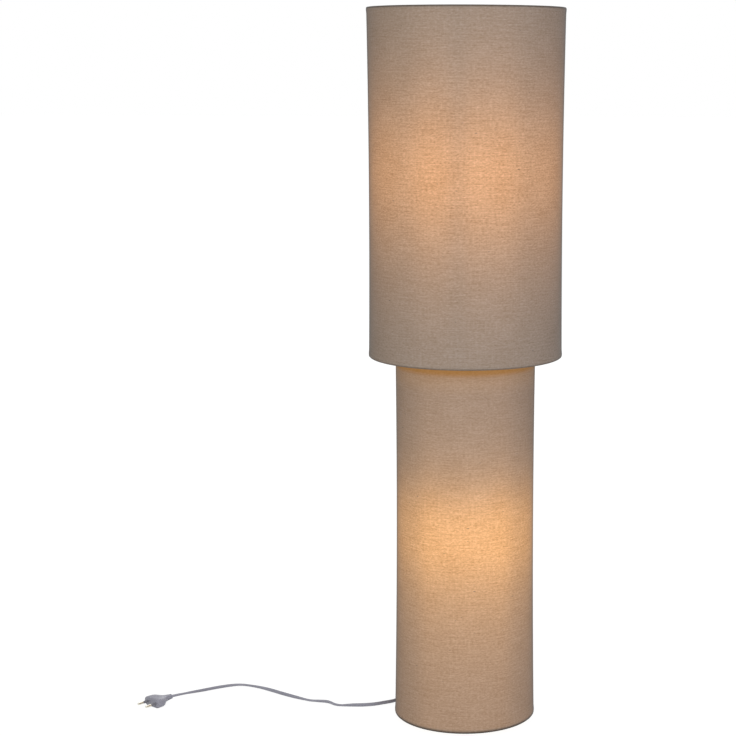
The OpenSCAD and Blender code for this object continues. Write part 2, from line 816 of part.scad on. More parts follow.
// Plan of the housing: straight sides and round ends, drawn in by inset
module housing_plan(inset) {
    r = switch_w / 2;
    for (side = [-1, 1])
        translate([0, side * (switch_len / 2 - r)]) circle(r = r - inset, $fn = 64);
    square([2 * (r - inset), switch_len - 2 * r], center = true);
}

module at_switch() {
    translate([0, switch_y, 0]) children();
}

module screw_spots() {
    for (side = [-1, 1]) translate([0, side * screw_reach, 0]) children();
}

// Lower half: a tray with a neck at each end that the cord enters
module switch_base() color([0.82, 0.82, 0.84]) at_switch() {
    difference() {
        union() {
            linear_extrude(switch_split) housing_plan(0);
            translate([-neck_w / 2, -switch_end, 0]) cube([neck_w, 2 * switch_end, neck_h]);
        }
        difference() {
            translate([0, 0, switch_wall]) linear_extrude(switch_split) housing_plan(switch_wall);
            screw_spots() cylinder(d = boss_d, h = switch_split);
        }
        screw_spots() translate([0, 0, -1]) cylinder(d = 3.4, h = switch_split + 2, $fn = 32);
        screw_spots() translate([0, 0, -1]) cylinder(d = 6, h = 3, $fn = 32);
    }
}

// Upper half: bevelled, with the hole for the button and two screw bosses
module switch_cover() color([0.82, 0.82, 0.84]) at_switch() {
    bevel = 4;
    ceiling = switch_h - switch_wall;
    difference() {
        hull() {
            translate([0, 0, switch_split]) linear_extrude(switch_h - switch_split - bevel)
                housing_plan(0);
            translate([0, 0, switch_h - 1]) linear_extrude(1) housing_plan(bevel);
        }
        difference() {
            translate([0, 0, switch_split - 1])
                linear_extrude(ceiling - switch_split + 1) housing_plan(bevel + switch_wall - 1);
            screw_spots() cylinder(d = boss_d, h = switch_h);
        }
        screw_spots() cylinder(d = 2.8, h = ceiling - 1, $fn = 32);
        cylinder(d = button_d + 2 * free, h = switch_h + 1);
    }
}

// Foot button: a domed disc over a flange that stays under the cover
module switch_button() color([0.75, 0.75, 0.77]) at_switch() {
    r = button_d / 2;
    top = switch_h + button_rise;
    difference() {
        rotate_extrude()
            polygon([[0, flange_top - button_flange_t],
                [r + button_flange, flange_top - button_flange_t],
                [r + button_flange, flange_top], [r, flange_top], [r, top - 1.6],
                [r - 0.5, top - 0.7], [r - 1.6, top - 0.2], [r - 3, top], [0, top - 0.4]]);
        cylinder(d = button_bore, h = top - 2.4);
    }
}

// Return spring, one wire from its flat foot on the contact block to the top
module switch_spring() color([0.7, 0.7, 0.72]) at_switch() {
    r = (spring_d - spring_wire) / 2;
    low = contacts_z + clear + spring_wire / 2;
    high = switch_h + button_rise - 2.4 - clear - spring_wire / 2;
    steps = 8;
    total = spring_turns * steps;
    skin([for (i = [0 : total])
        let (a = i * 360 / steps, z = low + (high - low) * i / total,
            dir = unit([-sin(a), cos(a), (high - low) / (spring_turns * 2 * PI * r)]),
            out = [cos(a), sin(a), 0], up = cross(dir, out))
        [for (k = [0 : 5]) out * r + [0, 0, z]
            + (out * cos(60 * k) + up * sin(60 * k)) * spring_wire / 2]]);
}

// Contact block on the tray's floor, between the two cord ends
module switch_contacts() color([0.2, 0.2, 0.22]) at_switch() {
    difference() {
        translate([-contacts_w / 2, -contacts_len / 2, switch_wall])
            cube([contacts_w, contacts_len, contacts_z - switch_wall]);
        for (side = [-1, 1])
            translate([0, side * contacts_len / 2, switch_wall + 3])
                cube([neck_w, 5, 2.5], center = true);
    }
}

module switch_screws() color([0.6, 0.6, 0.62]) at_switch() {
    screw_spots() {
        translate([0, 0, 0.6]) cylinder(d = 5.6, h = 1.4, $fn = 32);
        translate([0, 0, 1]) cylinder(d = 2.7, h = switch_h - switch_wall - 5, $fn = 32);
    }
}

// --------------------------------------------------------------------- cord

module cord_lamp_end() color([0.75, 0.75, 0.78]) {
    free_cord(lamp_end, [0, 1, 0], [0, 1, 0]);
}

module cord_switch_end() color([0.75, 0.75, 0.78]) {
    free_cord(switch_side, [0, 1, 0], [0, 1, 0]);
}

// Middle line of the coil at turn angle a: inwards, then out one layer up
coil_total = 360 * coil_turns;
function coil_radius(a) = coil_r - turn_pitch * min(a, coil_total - a) / 360;
function coil_height(a) = coil_low_z
    + layer_pitch * min(1, max(0, (a - coil_total / 2 + 90) / 180));
function coil_point(a) = [coil_x + coil_radius(a) * cos(a),
    coil_y + coil_radius(a) * sin(a), coil_height(a), 90];
coil_steps = rings_per_turn * coil_turns;
coil_line = [for (i = [0 : coil_steps]) coil_point(i * 360 / rings_per_turn)];
coil_first = [coil_line[0].x, coil_start_y, coil_low_z, 90];
coil_out = coil_line[coil_steps];
coil_last = [coil_out.x, coil_out.y - cord_w, coil_out.z, 90];
coil_route = concat([coil_first], coil_line, [coil_last]);
coil_rings = [for (i = [0 : len(coil_route) - 1])
    cord_ring(coil_route[i], heading(coil_route, i, [0, 1, 0], [0, -1, 0]), section6())];

// Gap between two upright flat sections in one plane, as [radius, height]
function section_gap(a, b) =
    norm([a.x - b.x, max(0, abs(a.y - b.y) - (cord_w - cord_t))]) - cord_t;

// Least gap between the turns, ring by ring, each against those in its plane
function in_plane(i) =
    let (a = i * 360 / rings_per_turn) [coil_radius(a), coil_height(a)];
coil_self_gap = min([for (i = [0 : coil_steps - rings_per_turn])
    for (j = [i + rings_per_turn : rings_per_turn : coil_steps])
        section_gap(in_plane(i), in_plane(j))]);

module cord_coil() color([0.75, 0.75, 0.78]) {
    skin(coil_rings);
}

echo("least gap in the coil", coil_self_gap);
echo("cord length", route_length(lamp_end), route_length(switch_side),
    route_length(coil_route), route_length(plug_end));

// Strap round the coil's bundle, at its far side
module cord_tie() color([0.15, 0.15, 0.16]) {
    bundle_in = coil_r - turn_pitch * coil_turns / 2 - cord_t / 2 - tie_slack;
    bundle_out = coil_r + cord_t / 2 + tie_slack;
    low = coil_rest - clear;
    high = coil_low_z + layer_pitch + cord_w / 2 + clear;
    translate([coil_x, coil_y, 0])
        rotate([90, 0, 90])
            translate([0, 0, -tie_w / 2])
                linear_extrude(tie_w)
                    difference() {
                        translate([bundle_in - tie_t, low - tie_t])
                            square([bundle_out - bundle_in + 2 * tie_t, high - low + 2 * tie_t]);
                        translate([bundle_in, low])
                            square([bundle_out - bundle_in, high - low]);
                    }
}

plug_dir = [cos(plug_turn), sin(plug_turn), 0];
coil_exit = [for (step = [[0, 5.6, 0], [0.6, 14, 1.9], [1.4, 23, 4.6], [2.2, 32, 6.3]])
    [coil_last.x - step.x, coil_last.y - step.y, coil_last.z - step.z, 90]];
plug_end = concat([coil_last], coil_exit, plug_end_route, [[plug_x, plug_y, plug_z, 0]]);

module cord_plug_end() color([0.75, 0.75, 0.78]) {
    free_cord(plug_end, [0, -1, 0], plug_dir);
}

// --------------------------------------------------------------------- plug

module at_plug() {
    translate([plug_x, plug_y, plug_z]) rotate(plug_turn) children();
}

// A slice of the plug's body across its length at x, w wide and t thick
module plug_slab(x, w, t) {
    for (side = [-1, 1])
        translate([x, side * (w - t) / 2, 0])
            rotate([0, 90, 0]) cylinder(d = t, h = 1, $fn = 32);
}

// Flat moulded body, slim at the cord and broad at the pins
module plug_body() color([0.75, 0.75, 0.78]) at_plug() {
    hull() {
        plug_slab(0, 8.5, 7);
        plug_slab(14, 14, 9.5);
    }
    hull() {
        plug_slab(14, 14, 9.5);
        plug_slab(24, plug_w - 4, plug_t);
    }
    hull() {
        plug_slab(24, plug_w - 4, plug_t);
        plug_slab(plug_len - 1, plug_w - 1, plug_t);
    }
}

module plug_pins() color([0.8, 0.78, 0.7]) at_plug() {
    for (side = [-1, 1])
        translate([plug_len, side * pin_pitch / 2, 0])
            rotate([0, 90, 0]) {
                cylinder(d = pin_d, h = pin_len - 1, $fn = 32);
                translate([0, 0, pin_len - 1]) cylinder(d1 = pin_d, d2 = pin_d - 1.4, h = 1, $fn = 32);
            }
}

base_pad();
base_plate();
base_washer();
base_nut();
lower_pole();
pole_stud();
upper_pole();
cap_nut();
column_bottom_frame();
column_top_frame();
column_cloth();
drum_top_frame();
drum_bottom_ring();
drum_cloth();
lower_bracket();
lower_nipple();
lower_holder_cap();
lower_holder_insert();
lower_holder_thread();
lower_holder_shell();
lower_bulb_cap();
lower_bulb_body();
lower_bulb_dome();
lower_lead();
upper_bracket();
upper_nipple();
upper_holder_cap();
upper_holder_insert();
upper_holder_thread();
upper_holder_shell();
upper_bulb_cap();
upper_bulb_body();
upper_bulb_dome();
upper_lead();
bracket_screws();
inner_cord();
wire_splice();
cord_gland();
cord_lamp_end();
switch_base();
switch_cover();
switch_button();
switch_spring();
switch_contacts();
switch_screws();
cord_switch_end();
cord_coil();
cord_tie();
cord_plug_end();
plug_body();
plug_pins();
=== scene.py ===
import math

import bmesh
import bpy
from mathutils import Euler, Matrix, Vector


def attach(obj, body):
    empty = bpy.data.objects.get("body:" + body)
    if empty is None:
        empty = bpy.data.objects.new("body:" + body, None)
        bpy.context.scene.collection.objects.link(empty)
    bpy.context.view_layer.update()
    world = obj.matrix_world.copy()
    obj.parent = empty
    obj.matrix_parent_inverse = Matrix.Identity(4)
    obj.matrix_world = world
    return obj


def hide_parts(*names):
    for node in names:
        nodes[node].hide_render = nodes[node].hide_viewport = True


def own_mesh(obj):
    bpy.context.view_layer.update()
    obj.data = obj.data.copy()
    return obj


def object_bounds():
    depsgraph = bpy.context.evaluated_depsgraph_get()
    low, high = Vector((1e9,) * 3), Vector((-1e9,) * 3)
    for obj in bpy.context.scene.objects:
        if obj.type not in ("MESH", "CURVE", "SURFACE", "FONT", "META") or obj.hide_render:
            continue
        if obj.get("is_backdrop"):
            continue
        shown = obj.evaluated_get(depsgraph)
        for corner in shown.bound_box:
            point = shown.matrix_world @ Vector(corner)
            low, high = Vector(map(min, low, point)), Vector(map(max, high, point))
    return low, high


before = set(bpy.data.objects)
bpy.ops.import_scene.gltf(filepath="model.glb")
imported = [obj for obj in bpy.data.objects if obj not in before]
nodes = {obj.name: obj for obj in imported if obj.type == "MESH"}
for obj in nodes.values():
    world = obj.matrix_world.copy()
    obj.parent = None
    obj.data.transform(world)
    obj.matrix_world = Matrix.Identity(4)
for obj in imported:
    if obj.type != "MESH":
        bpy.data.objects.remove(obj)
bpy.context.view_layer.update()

bpy.context.scene.view_settings.view_transform = "Standard"

# ------------------------------------------------------------------ camera
# The lamp is seen from a little under its top, straight from the front and
# 2.7 m away. The shift puts it right of the picture's middle, as the cord runs
# out to the left.
camera_data = bpy.data.cameras.new("camera")
camera_data.lens = 91.27
camera_data.sensor_width = 36
camera_data.shift_x = -0.1323
camera_data.shift_y = -0.0223
camera = bpy.data.objects.new("camera", camera_data)
bpy.context.scene.collection.objects.link(camera)
camera.location = (0, -2.6926, 0.9701)
TILT, ROLL = 81.14, 0.15
tilt = Euler((math.radians(TILT), 0, 0)).to_matrix()
camera.rotation_euler = (tilt @ Matrix.Rotation(math.radians(ROLL), 3, "Z")).to_euler()
bpy.context.scene.camera = camera

# ----------------------------------------------------------- strain relief
# A ribbed boot of soft grey vinyl, moulded on the cord. Its square root sits
# in the channel under the base plate, a flange bears on the plate's edge, and
# its ribs let the cord bend without a kink.


class Finish:
    """A material in the making: its nodes, its shader and the piece's own coordinates."""

    def __init__(self, name):
        self.material = bpy.data.materials.new(name)
        self.material.use_nodes = True
        self.tree = self.material.node_tree
        self.shader = self.tree.nodes["Principled BSDF"]
        self.place = self.add("ShaderNodeTexCoord").outputs["Object"]

    def feed(self, socket, value):
        if isinstance(value, bpy.types.NodeSocket):
            self.tree.links.new(value, socket)
        elif socket.type == "RGBA":
            socket.default_value = (*value[:3], 1)
        else:
            socket.default_value = value

    def add(self, kind, *inputs, **settings):
        node = self.tree.nodes.new(kind)
        for key, value in settings.items():
            setattr(node, key, value)
        for socket, value in zip(node.inputs, inputs):
            self.feed(socket, value)
        return node

    def set(self, **values):
        """Feeds the shader's sockets, whose names are written with _ for a space."""
        for key, value in values.items():
            self.feed(self.shader.inputs[key.replace("_", " ")], value)

    def maths(self, operation, *inputs):
        return self.add("ShaderNodeMath", *inputs, operation=operation).outputs[0]

    def vectors(self, operation, *inputs):
        return self.add("ShaderNodeVectorMath", *inputs, operation=operation).outputs[0]

    def product(self, first, *others):
        """Numbers multiplied together."""
        for other in others:
            first = self.maths("MULTIPLY", first, other)
        return first

    def noise(self, cells, detail, place=None):
        """Noise with so many cells to the metre along X, Y and Z."""
        noise = self.add("ShaderNodeTexNoise")
        self.feed(noise.inputs["Vector"], self.vectors("MULTIPLY", place or self.place, cells))
        noise.inputs["Scale"].default_value = 1
        noise.inputs["Detail"].default_value = detail
        return noise.outputs[0]

    def between(self, factor, low, high):
        """A colour from low to high, as factor goes from 0 to 1."""
        mix = self.add("ShaderNodeMix", data_type="RGBA", clamp_factor=True)
        for index, value in ((0, factor), (6, low), (7, high)):
            self.feed(mix.inputs[index], value)
        return mix.outputs[2]

    def times(self, colour, factor):
        """A colour made darker or lighter by a factor."""
        node = self.add("ShaderNodeVectorMath", operation="SCALE")
        self.feed(node.inputs[0], colour)
        self.feed(node.inputs["Scale"], factor)
        return node.outputs[0]

    def spread(self, value, low, high, to_low, to_high, smooth=False):
        """Maps a value from low..high to to_low..to_high, held at the ends."""
        kind = "SMOOTHSTEP" if smooth else "LINEAR"
        return self.add("ShaderNodeMapRange", value, low, high, to_low, to_high,
                        interpolation_type=kind).outputs[0]

    def bump(self, height, strength, depth):
        """Raises the surface by height, depth metres at most."""
        node = self.add("ShaderNodeBump")
        for key, value in (("Strength", strength), ("Distance", depth), ("Height", height)):
            self.feed(node.inputs[key], value)
        self.feed(self.shader.inputs["Normal"], node.outputs[0])
        return self


def moulded(name, dark, light, rough, grain, depth):
    """Moulded or coated stuff: faint clouds in its colour and gloss, and a fine grain."""
    finish = Finish(name)
    clouds = finish.spread(finish.noise((35, 35, 35), 4), 0.3, 0.7, 0, 1)
    patches = finish.noise((90, 90, 90), 3)
    finish.set(
        Base_Color=finish.between(clouds, dark, light),
        Roughness=finish.spread(patches, 0.3, 0.7, rough - 0.06, rough + 0.06),
    )
    return finish.bump(finish.noise((grain, grain, grain), 2), 0.35, depth)


cord_vinyl = moulded("cord_vinyl", (0.268, 0.270, 0.332), (0.312, 0.314, 0.380),
                     rough=0.42, grain=900, depth=0.00003)


def start_ring(name, corners, radius, x, y, z, facing=(0, 0, 0)):
    """A filled ring, sized in millimetres, ready to be drawn out and left in edit mode."""
    bpy.ops.object.select_all(action="DESELECT")
    bpy.ops.mesh.primitive_circle_add(
        vertices=corners, radius=radius / 1000, fill_type="NGON",
        location=(x / 1000, y / 1000, z / 1000), rotation=facing)
    piece = bpy.context.object
    piece.name = piece.data.name = name
    bpy.ops.object.transform_apply(location=True, rotation=True)
    bpy.ops.object.mode_set(mode="EDIT")
    bpy.ops.mesh.select_all(action="SELECT")
    return piece


def draw_out(step, centre, ratio):
    """Extrudes what is selected by step, and scales it about centre, both in millimetres."""
    bpy.ops.mesh.extrude_region_move(TRANSFORM_OT_translate={"value": [s / 1000 for s in step]})
    bpy.ops.transform.resize(value=ratio, center_override=[c / 1000 for c in centre])


def finish_piece(piece, finish, body="lamp", stands_for=(), angle=35):
    """Turns the faces out, leaves edit mode, gives a finish and a body, and hides what it replaces.
    """
    if bpy.context.object and bpy.context.object.mode == "EDIT":
        bpy.ops.mesh.select_all(action="SELECT")
        bpy.ops.mesh.normals_make_consistent(inside=False)
        bpy.ops.object.mode_set(mode="OBJECT")
    bpy.ops.object.select_all(action="DESELECT")
    piece.select_set(True)
    bpy.context.view_layer.objects.active = piece
    bpy.ops.object.shade_smooth_by_angle(angle=math.radians(angle))
    piece.data.materials.clear()
    piece.data.materials.append(finish.material)
    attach(piece, body)
    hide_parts(*stands_for)
    return piece


GLAND_Z, ROOT_Y, ROOT_WIDE, ROOT_HIGH = 2.3, 70, 7.4, 4.0
FLANGE_Y, FLANGE_END, FLANGE_WIDE, FLANGE_HIGH = 85.3, 87.3, 12, 4.2
RIBS, FIRST_RIB, RIB_PITCH, RIB_GAP, RIB_WIDE = 6, 88.6, 3.0, 1.1, 8.2
NECK_WIDE, NECK_HIGH, TIP_Y, TIP_WIDE = 6.3, 3.9, 107.3, 6.0
root_middle = (0, ROOT_Y / 1000, GLAND_Z / 1000)
root = start_ring("strain_relief", 4, ROOT_WIDE / math.sqrt(2), 0, ROOT_Y, GLAND_Z,
                  (math.radians(-90), 0, 0))
bpy.ops.transform.rotate(value=math.radians(45), orient_axis="Y", center_override=root_middle)
bpy.ops.transform.resize(value=(1, 1, ROOT_HIGH / ROOT_WIDE), center_override=root_middle)
relief = [(ROOT_Y, ROOT_WIDE, ROOT_HIGH), (FLANGE_Y, ROOT_WIDE, ROOT_HIGH),
          (FLANGE_Y, FLANGE_WIDE, FLANGE_HIGH), (FLANGE_END, FLANGE_WIDE, FLANGE_HIGH),
          (FLANGE_END, RIB_WIDE, FLANGE_HIGH), (FIRST_RIB, RIB_WIDE, FLANGE_HIGH)]
for rib in range(RIBS):
    rib_y = FIRST_RIB + rib * RIB_PITCH
    neck = NECK_WIDE - 0.12 * rib
    wide = RIB_WIDE - 0.35 * rib
    high = FLANGE_HIGH - 0.05 * rib
    relief += [(rib_y, neck, NECK_HIGH), (rib_y + RIB_GAP, neck, NECK_HIGH),
               (rib_y + RIB_GAP, wide, high), (rib_y + RIB_PITCH, wide - 0.1, high)]
relief += [(TIP_Y, TIP_WIDE, NECK_HIGH)]
for (y0, w0, h0), (y1, w1, h1) in zip(relief, relief[1:]):
    draw_out((0, y1 - y0, 0), (0, y1, GLAND_Z), (w1 / w0, 1, h1 / h0))
bpy.ops.object.mode_set(mode="OBJECT")
rounding = root.modifiers.new("rounding", "BEVEL")
rounding.width, rounding.segments, rounding.limit_method = 0.0004, 2, "ANGLE"
bpy.ops.object.modifier_apply(modifier="rounding")
finish_piece(root, cord_vinyl, stands_for=["cord_gland"])

# ------------------------------------------------------- foot switch halves
# Two shells of satin grey plastic, screwed together from below round the
# contact block. The upper one is bevelled, with a raised rim round the button.
SWITCH_Y = 190
TOUCHING = 0.00001       # corners nearer than this are one corner


def rounded_copy(node, name, width, segments=3):
    """A copy of a solid from the frame, its corners rounded by width in millimetres."""
    bpy.ops.object.select_all(action="DESELECT")
    piece = bpy.data.objects.new(name, nodes[node].data.copy())
    bpy.context.scene.collection.objects.link(piece)
    piece.data.name = name
    piece.select_set(True)
    bpy.context.view_layer.objects.active = piece
    bpy.ops.object.mode_set(mode="EDIT")
    bpy.ops.mesh.select_all(action="SELECT")
    bpy.ops.mesh.customdata_custom_splitnormals_clear()
    bpy.ops.mesh.remove_doubles(threshold=TOUCHING)
    bpy.ops.mesh.dissolve_limited(angle_limit=math.radians(0.5))
    bpy.ops.object.mode_set(mode="OBJECT")
    rounding = piece.modifiers.new("rounding", "BEVEL")
    rounding.width, rounding.segments = width / 1000, segments
    rounding.limit_method, rounding.angle_limit = "ANGLE", math.radians(32)
    bpy.ops.object.modifier_apply(modifier="rounding")
    return piece


switch_plastic = moulded("switch_plastic", (0.235, 0.228, 0.255), (0.262, 0.255, 0.285),
                         rough=0.38, grain=1300, depth=0.00005)
switch_tray = finish_piece(rounded_copy("switch_base", "switch_tray", 0.5), switch_plastic,
                           stands_for=["switch_base"])
switch_lid = rounded_copy("switch_cover", "switch_lid", 0.6)
rim_shape = [(9.7, 18.8), (12.2, 18.8), (12.2, 19.3), (11.6, 20.0), (10.2, 20.0), (9.7, 19.5)]
rim = start_ring("rim", 64, rim_shape[0][0], 0, SWITCH_Y, rim_shape[0][1])
bpy.ops.mesh.delete(type="ONLY_FACE")
bpy.ops.mesh.select_all(action="SELECT")
for (r0, z0), (r1, z1) in zip(rim_shape, rim_shape[1:] + rim_shape[:1]):
    draw_out((0, 0, z1 - z0), (0, SWITCH_Y, z1), (r1 / r0, r1 / r0, 1))
bpy.ops.mesh.select_all(action="SELECT")
bpy.ops.mesh.remove_doubles(threshold=TOUCHING)
bpy.ops.mesh.normals_make_consistent(inside=False)
bpy.ops.object.mode_set(mode="OBJECT")
bpy.ops.object.select_all(action="DESELECT")
rim.select_set(True)
switch_lid.select_set(True)
bpy.context.view_layer.objects.active = switch_lid
bpy.ops.object.join()
finish_piece(switch_lid, switch_plastic, stands_for=["switch_cover"])

# ----------------------------------------------------------- foot button
# One moulded disc on a flange that keeps it under the lid. Two grooves in its
# domed top give the foot some grip. It is the only piece that moves in use.


def turned(name, shape, x=0.0, y=0.0, corners=64):
    """A turned solid: a ring at the first [radius, height], drawn out to each of the next."""
    piece = start_ring(name, corners, shape[0][0], x, y, shape[0][1])
    for (r0, z0), (r1, z1) in zip(shape, shape[1:]):
        draw_out((0, 0, z1 - z0), (x, y, z1), (r1 / r0, r1 / r0, 1))
    return piece


button_plastic = moulded("button_plastic", (0.140, 0.135, 0.152), (0.165, 0.160, 0.180),
                         rough=0.45, grain=1100, depth=0.00006)
button_shape = [
    (0.05, 21.6), (6, 21.6), (6, 15.2), (11, 15.2), (11, 16.7), (9, 16.7), (9, 22.3), (8.7, 23.0),
    (8.2, 23.5), (7.4, 23.85), (6.5, 24.0), (6.2, 24.0), (6.05, 23.55), (5.55, 23.55), (5.4, 23.95),
    (3.9, 23.85), (3.75, 23.45), (3.25, 23.45), (3.1, 23.8), (1.5, 23.7), (0.05, 23.65)]
button = turned("foot_button", button_shape, 0, SWITCH_Y)
finish_piece(button, button_plastic, "button", ["switch_button"])

# ----------------------------------------------------------- return spring
# Six turns of 0.9 mm plated wire, between the contact block and the button.
# The real one shortens as the button goes down; this one keeps one length.


def metal(name, dark, light, rough, grain, depth=0.00002):
    """Bare or plated metal: clouded colour, gloss broken by fine marks along one direction."""
    finish = Finish(name)
    marks = finish.noise(grain, 4)
    clouds = finish.spread(finish.noise((28, 28, 28), 3), 0.3, 0.7, 0, 1)
    finish.set(
        Base_Color=finish.between(clouds, dark, light),
        Roughness=finish.spread(marks, 0.25, 0.75, rough - 0.08, rough + 0.12),
        Metallic=1.0,
    )
    return finish.bump(marks, 0.25, depth)


zinc_plate = metal("zinc_plate", (0.50, 0.51, 0.52), (0.66, 0.66, 0.65),
                   rough=0.32, grain=(260, 260, 260))
SPRING_LOW, SPRING_HIGH, SPRING_R, WIRE_R = 8.75, 20.85, 4.05, 0.45
SPRING_TURNS, TURN_CORNERS = 6, 24
spring_line = bpy.data.curves.new("return_spring", "CURVE")
spring_line.dimensions = "3D"
spring_line.bevel_depth = WIRE_R / 1000
spring_line.bevel_resolution = 3
spring_line.use_fill_caps = True
wire = spring_line.splines.new("POLY")
wire.points.add(SPRING_TURNS * TURN_CORNERS)
for i, point in enumerate(wire.points):
    share = i / (SPRING_TURNS * TURN_CORNERS)
    swing = 2 * math.pi * SPRING_TURNS * share
    rise = SPRING_LOW + (SPRING_HIGH - SPRING_LOW) * share
    point.co = (SPRING_R * math.cos(swing) / 1000, (SWITCH_Y + SPRING_R * math.sin(swing)) / 1000,
                rise / 1000, 1)
spring = bpy.data.objects.new("return_spring", spring_line)
bpy.context.scene.collection.objects.link(spring)
bpy.ops.object.select_all(action="DESELECT")
spring.select_set(True)
bpy.context.view_layer.objects.active = spring
bpy.ops.object.convert(target="MESH")
spring = bpy.context.object
finish_piece(spring, zinc_plate, stands_for=["switch_spring"], angle=60)
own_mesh(spring)

# ------------------------------------------------ contact block and screws
# A black moulding with the contacts in it, and two plated screws that hold
# the halves together from below.


def coat_nodes(finish, *names):
    """Gives solids from the frame a finish in place of their plain one."""
    for name in names:
        for place in nodes[name].material_slots:
            place.material = finish.material


black_plastic = moulded("black_plastic", (0.012, 0.012, 0.013), (0.020, 0.020, 0.021),
                        rough=0.40, grain=1400, depth=0.00005)
coat_nodes(black_plastic, "switch_contacts")
coat_nodes(zinc_plate, "switch_screws")

# ------------------------------------------- cord from the lamp to the switch
# Flat two-core mains cord in soft grey vinyl, 5.4 mm wide and 3.3 mm thick.
# It leaves the strain relief level with the floor and enters the switch's
# neck 43 mm on.
CORD_WIDTH, CORD_THICK, CORD_STEP, ARC_STEPS = 5.4, 3.3, 3.0, 10


def smooth_route(points):
    """A smooth line through points of x, y, z and roll, in millimetres and degrees."""
    last = len(points) - 1
    rows = []
    for i in range(last):
        a, b, c, d = (Vector(points[min(max(k, 0), last)]) for k in (i - 1, i, i + 1, i + 2))
        steps = max(1, round((c.xyz - b.xyz).length / CORD_STEP))
        for s in range(steps):
            t = s / steps
            rows.append(0.5 * (2 * b + (c - a) * t + (2 * a - 5 * b + 4 * c - d) * t * t
                               + (3 * b - a - 3 * c + d) * t ** 3))
    return rows + [Vector(points[last])]


def cord_tube(name, rows, first, last):
    """The cord's oval section along rows, each turned by its roll, with closed ends."""
    half, radius = (CORD_WIDTH - CORD_THICK) / 2, CORD_THICK / 2
    arc = [math.radians(-90 + 180 * k / ARC_STEPS) for k in range(ARC_STEPS + 1)]
    section = [(side * (half + radius * math.cos(a)), side * radius * math.sin(a))
               for side in (1, -1) for a in arc]
    count = len(section)
    points, faces = [], []
    for i, row in enumerate(rows):
        ahead = rows[min(i + 1, len(rows) - 1)].xyz - rows[max(i - 1, 0)].xyz
        ahead = Vector(first if i == 0 else last if i == len(rows) - 1 else ahead).normalized()
        side = Vector((0, 0, 1)).cross(ahead).normalized()
        up = ahead.cross(side)
        roll = math.radians(row[3])
        for x, y in section:
            at = row.xyz + side * (x * math.cos(roll) - y * math.sin(roll))
            points.append((at + up * (x * math.sin(roll) + y * math.cos(roll))) / 1000)
        if i:
            near, far = (i - 1) * count, i * count
            faces += [(near + k, near + (k + 1) % count, far + (k + 1) % count, far + k)
                      for k in range(count)]
    faces += [tuple(range(count)), tuple(range(len(points) - count, len(points)))]
    mesh = bpy.data.meshes.new(name)
    mesh.from_pydata(points, [], faces)
    tube = bpy.data.objects.new(name, mesh)
    bpy.context.scene.collection.objects.link(tube)
    bpy.ops.object.select_all(action="DESELECT")
    tube.select_set(True)
    bpy.context.view_layer.objects.active = tube
    bpy.ops.object.mode_set(mode="EDIT")
    return tube


lamp_rows = smooth_route([(0, 107.3, 2.3, 0), (0, 115.84, 2.3, 0), (0, 128.65, 2.5, 0),
                          (0, 142.314, 3, 0), (0, 150, 3, 0)])
lamp_cord = finish_piece(
    cord_tube("cord_to_switch", lamp_rows, (0, 1, 0), (0, 1, 0)), cord_vinyl,
    stands_for=["cord_lamp_end"], angle=60)

# -------------------------------------------- cord from the switch to the coil
# The same cord leaves the switch's other neck flat, and turns on its edge
# before the coil.
switch_rows = smooth_route([(0, 230, 3, 0), (0, 237, 3, 0), (0, 244, 3.2, 24), (0, 251, 3.5, 62),
                            (0, 258, 3.8, 88), (0, 264, 3.8, 90)])
switch_cord = finish_piece(
    cord_tube("cord_from_switch", switch_rows, (0, 1, 0), (0, 1, 0)), cord_vinyl,
    stands_for=["cord_switch_end"], angle=60)

# ---------------------------------------------------------------- cord tie
# A strap of black hook tape round the coil's bundle, lapped on itself on top.
strap = rounded_copy("cord_tie", "cord_strap", 0.25, 2)
bpy.ops.object.select_all(action="DESELECT")
STRAP_LAP_AT, STRAP_LAP_SIZE = (-0.036, 0.2982, 0.01395), (0.009, 0.0095, 0.0007)
bpy.ops.mesh.primitive_cube_add(size=1, location=STRAP_LAP_AT)
strap_lap = bpy.context.object
bpy.ops.transform.resize(value=STRAP_LAP_SIZE)
bpy.ops.object.transform_apply(location=True, scale=True)
soften = strap_lap.modifiers.new("soften", "BEVEL")
soften.width, soften.segments = 0.00025, 2
bpy.ops.object.modifier_apply(modifier="soften")
strap.select_set(True)
bpy.context.view_layer.objects.active = strap
bpy.ops.object.join()
hook_tape = Finish("hook_tape")
pile = hook_tape.noise((1600, 1600, 1600), 2)
hook_tape.set(
    Base_Color=hook_tape.between(hook_tape.spread(pile, 0.35, 0.65, 0, 1),
                                 (0.010, 0.010, 0.011), (0.032, 0.032, 0.034)),
    Roughness=0.92,
    Sheen_Weight=0.25,
)
hook_tape.bump(pile, 0.7, 0.0002)
finish_piece(strap, hook_tape, stands_for=["cord_tie"])

# ------------------------------------------------------------------ coil
# The length that the picture doesn't show, wound up behind the lamp: six and
# a half turns on edge, inwards on the floor and out again on top.
COIL_X, COIL_Y, COIL_R, COIL_LOW, COIL_TURNS = -36, 269.4, 36, 3.8, 6.5
TURN_PITCH, LAYER_PITCH, COIL_RINGS = 4.0, 6.1, 48
COIL_END, CLIMB, ON_EDGE = 360 * COIL_TURNS, 180, 90


def coil_row(angle):
    """The coil's line at an angle in degrees; it climbs to the top layer over half a turn."""
    radius = COIL_R - TURN_PITCH * min(angle, COIL_END - angle) / 360
    climbed = min(1, max(0, (angle - COIL_END / 2 + CLIMB / 2) / CLIMB))
    a = math.radians(angle)
    return Vector((COIL_X + radius * math.cos(a), COIL_Y + radius * math.sin(a),
                   COIL_LOW + LAYER_PITCH * climbed, ON_EDGE))


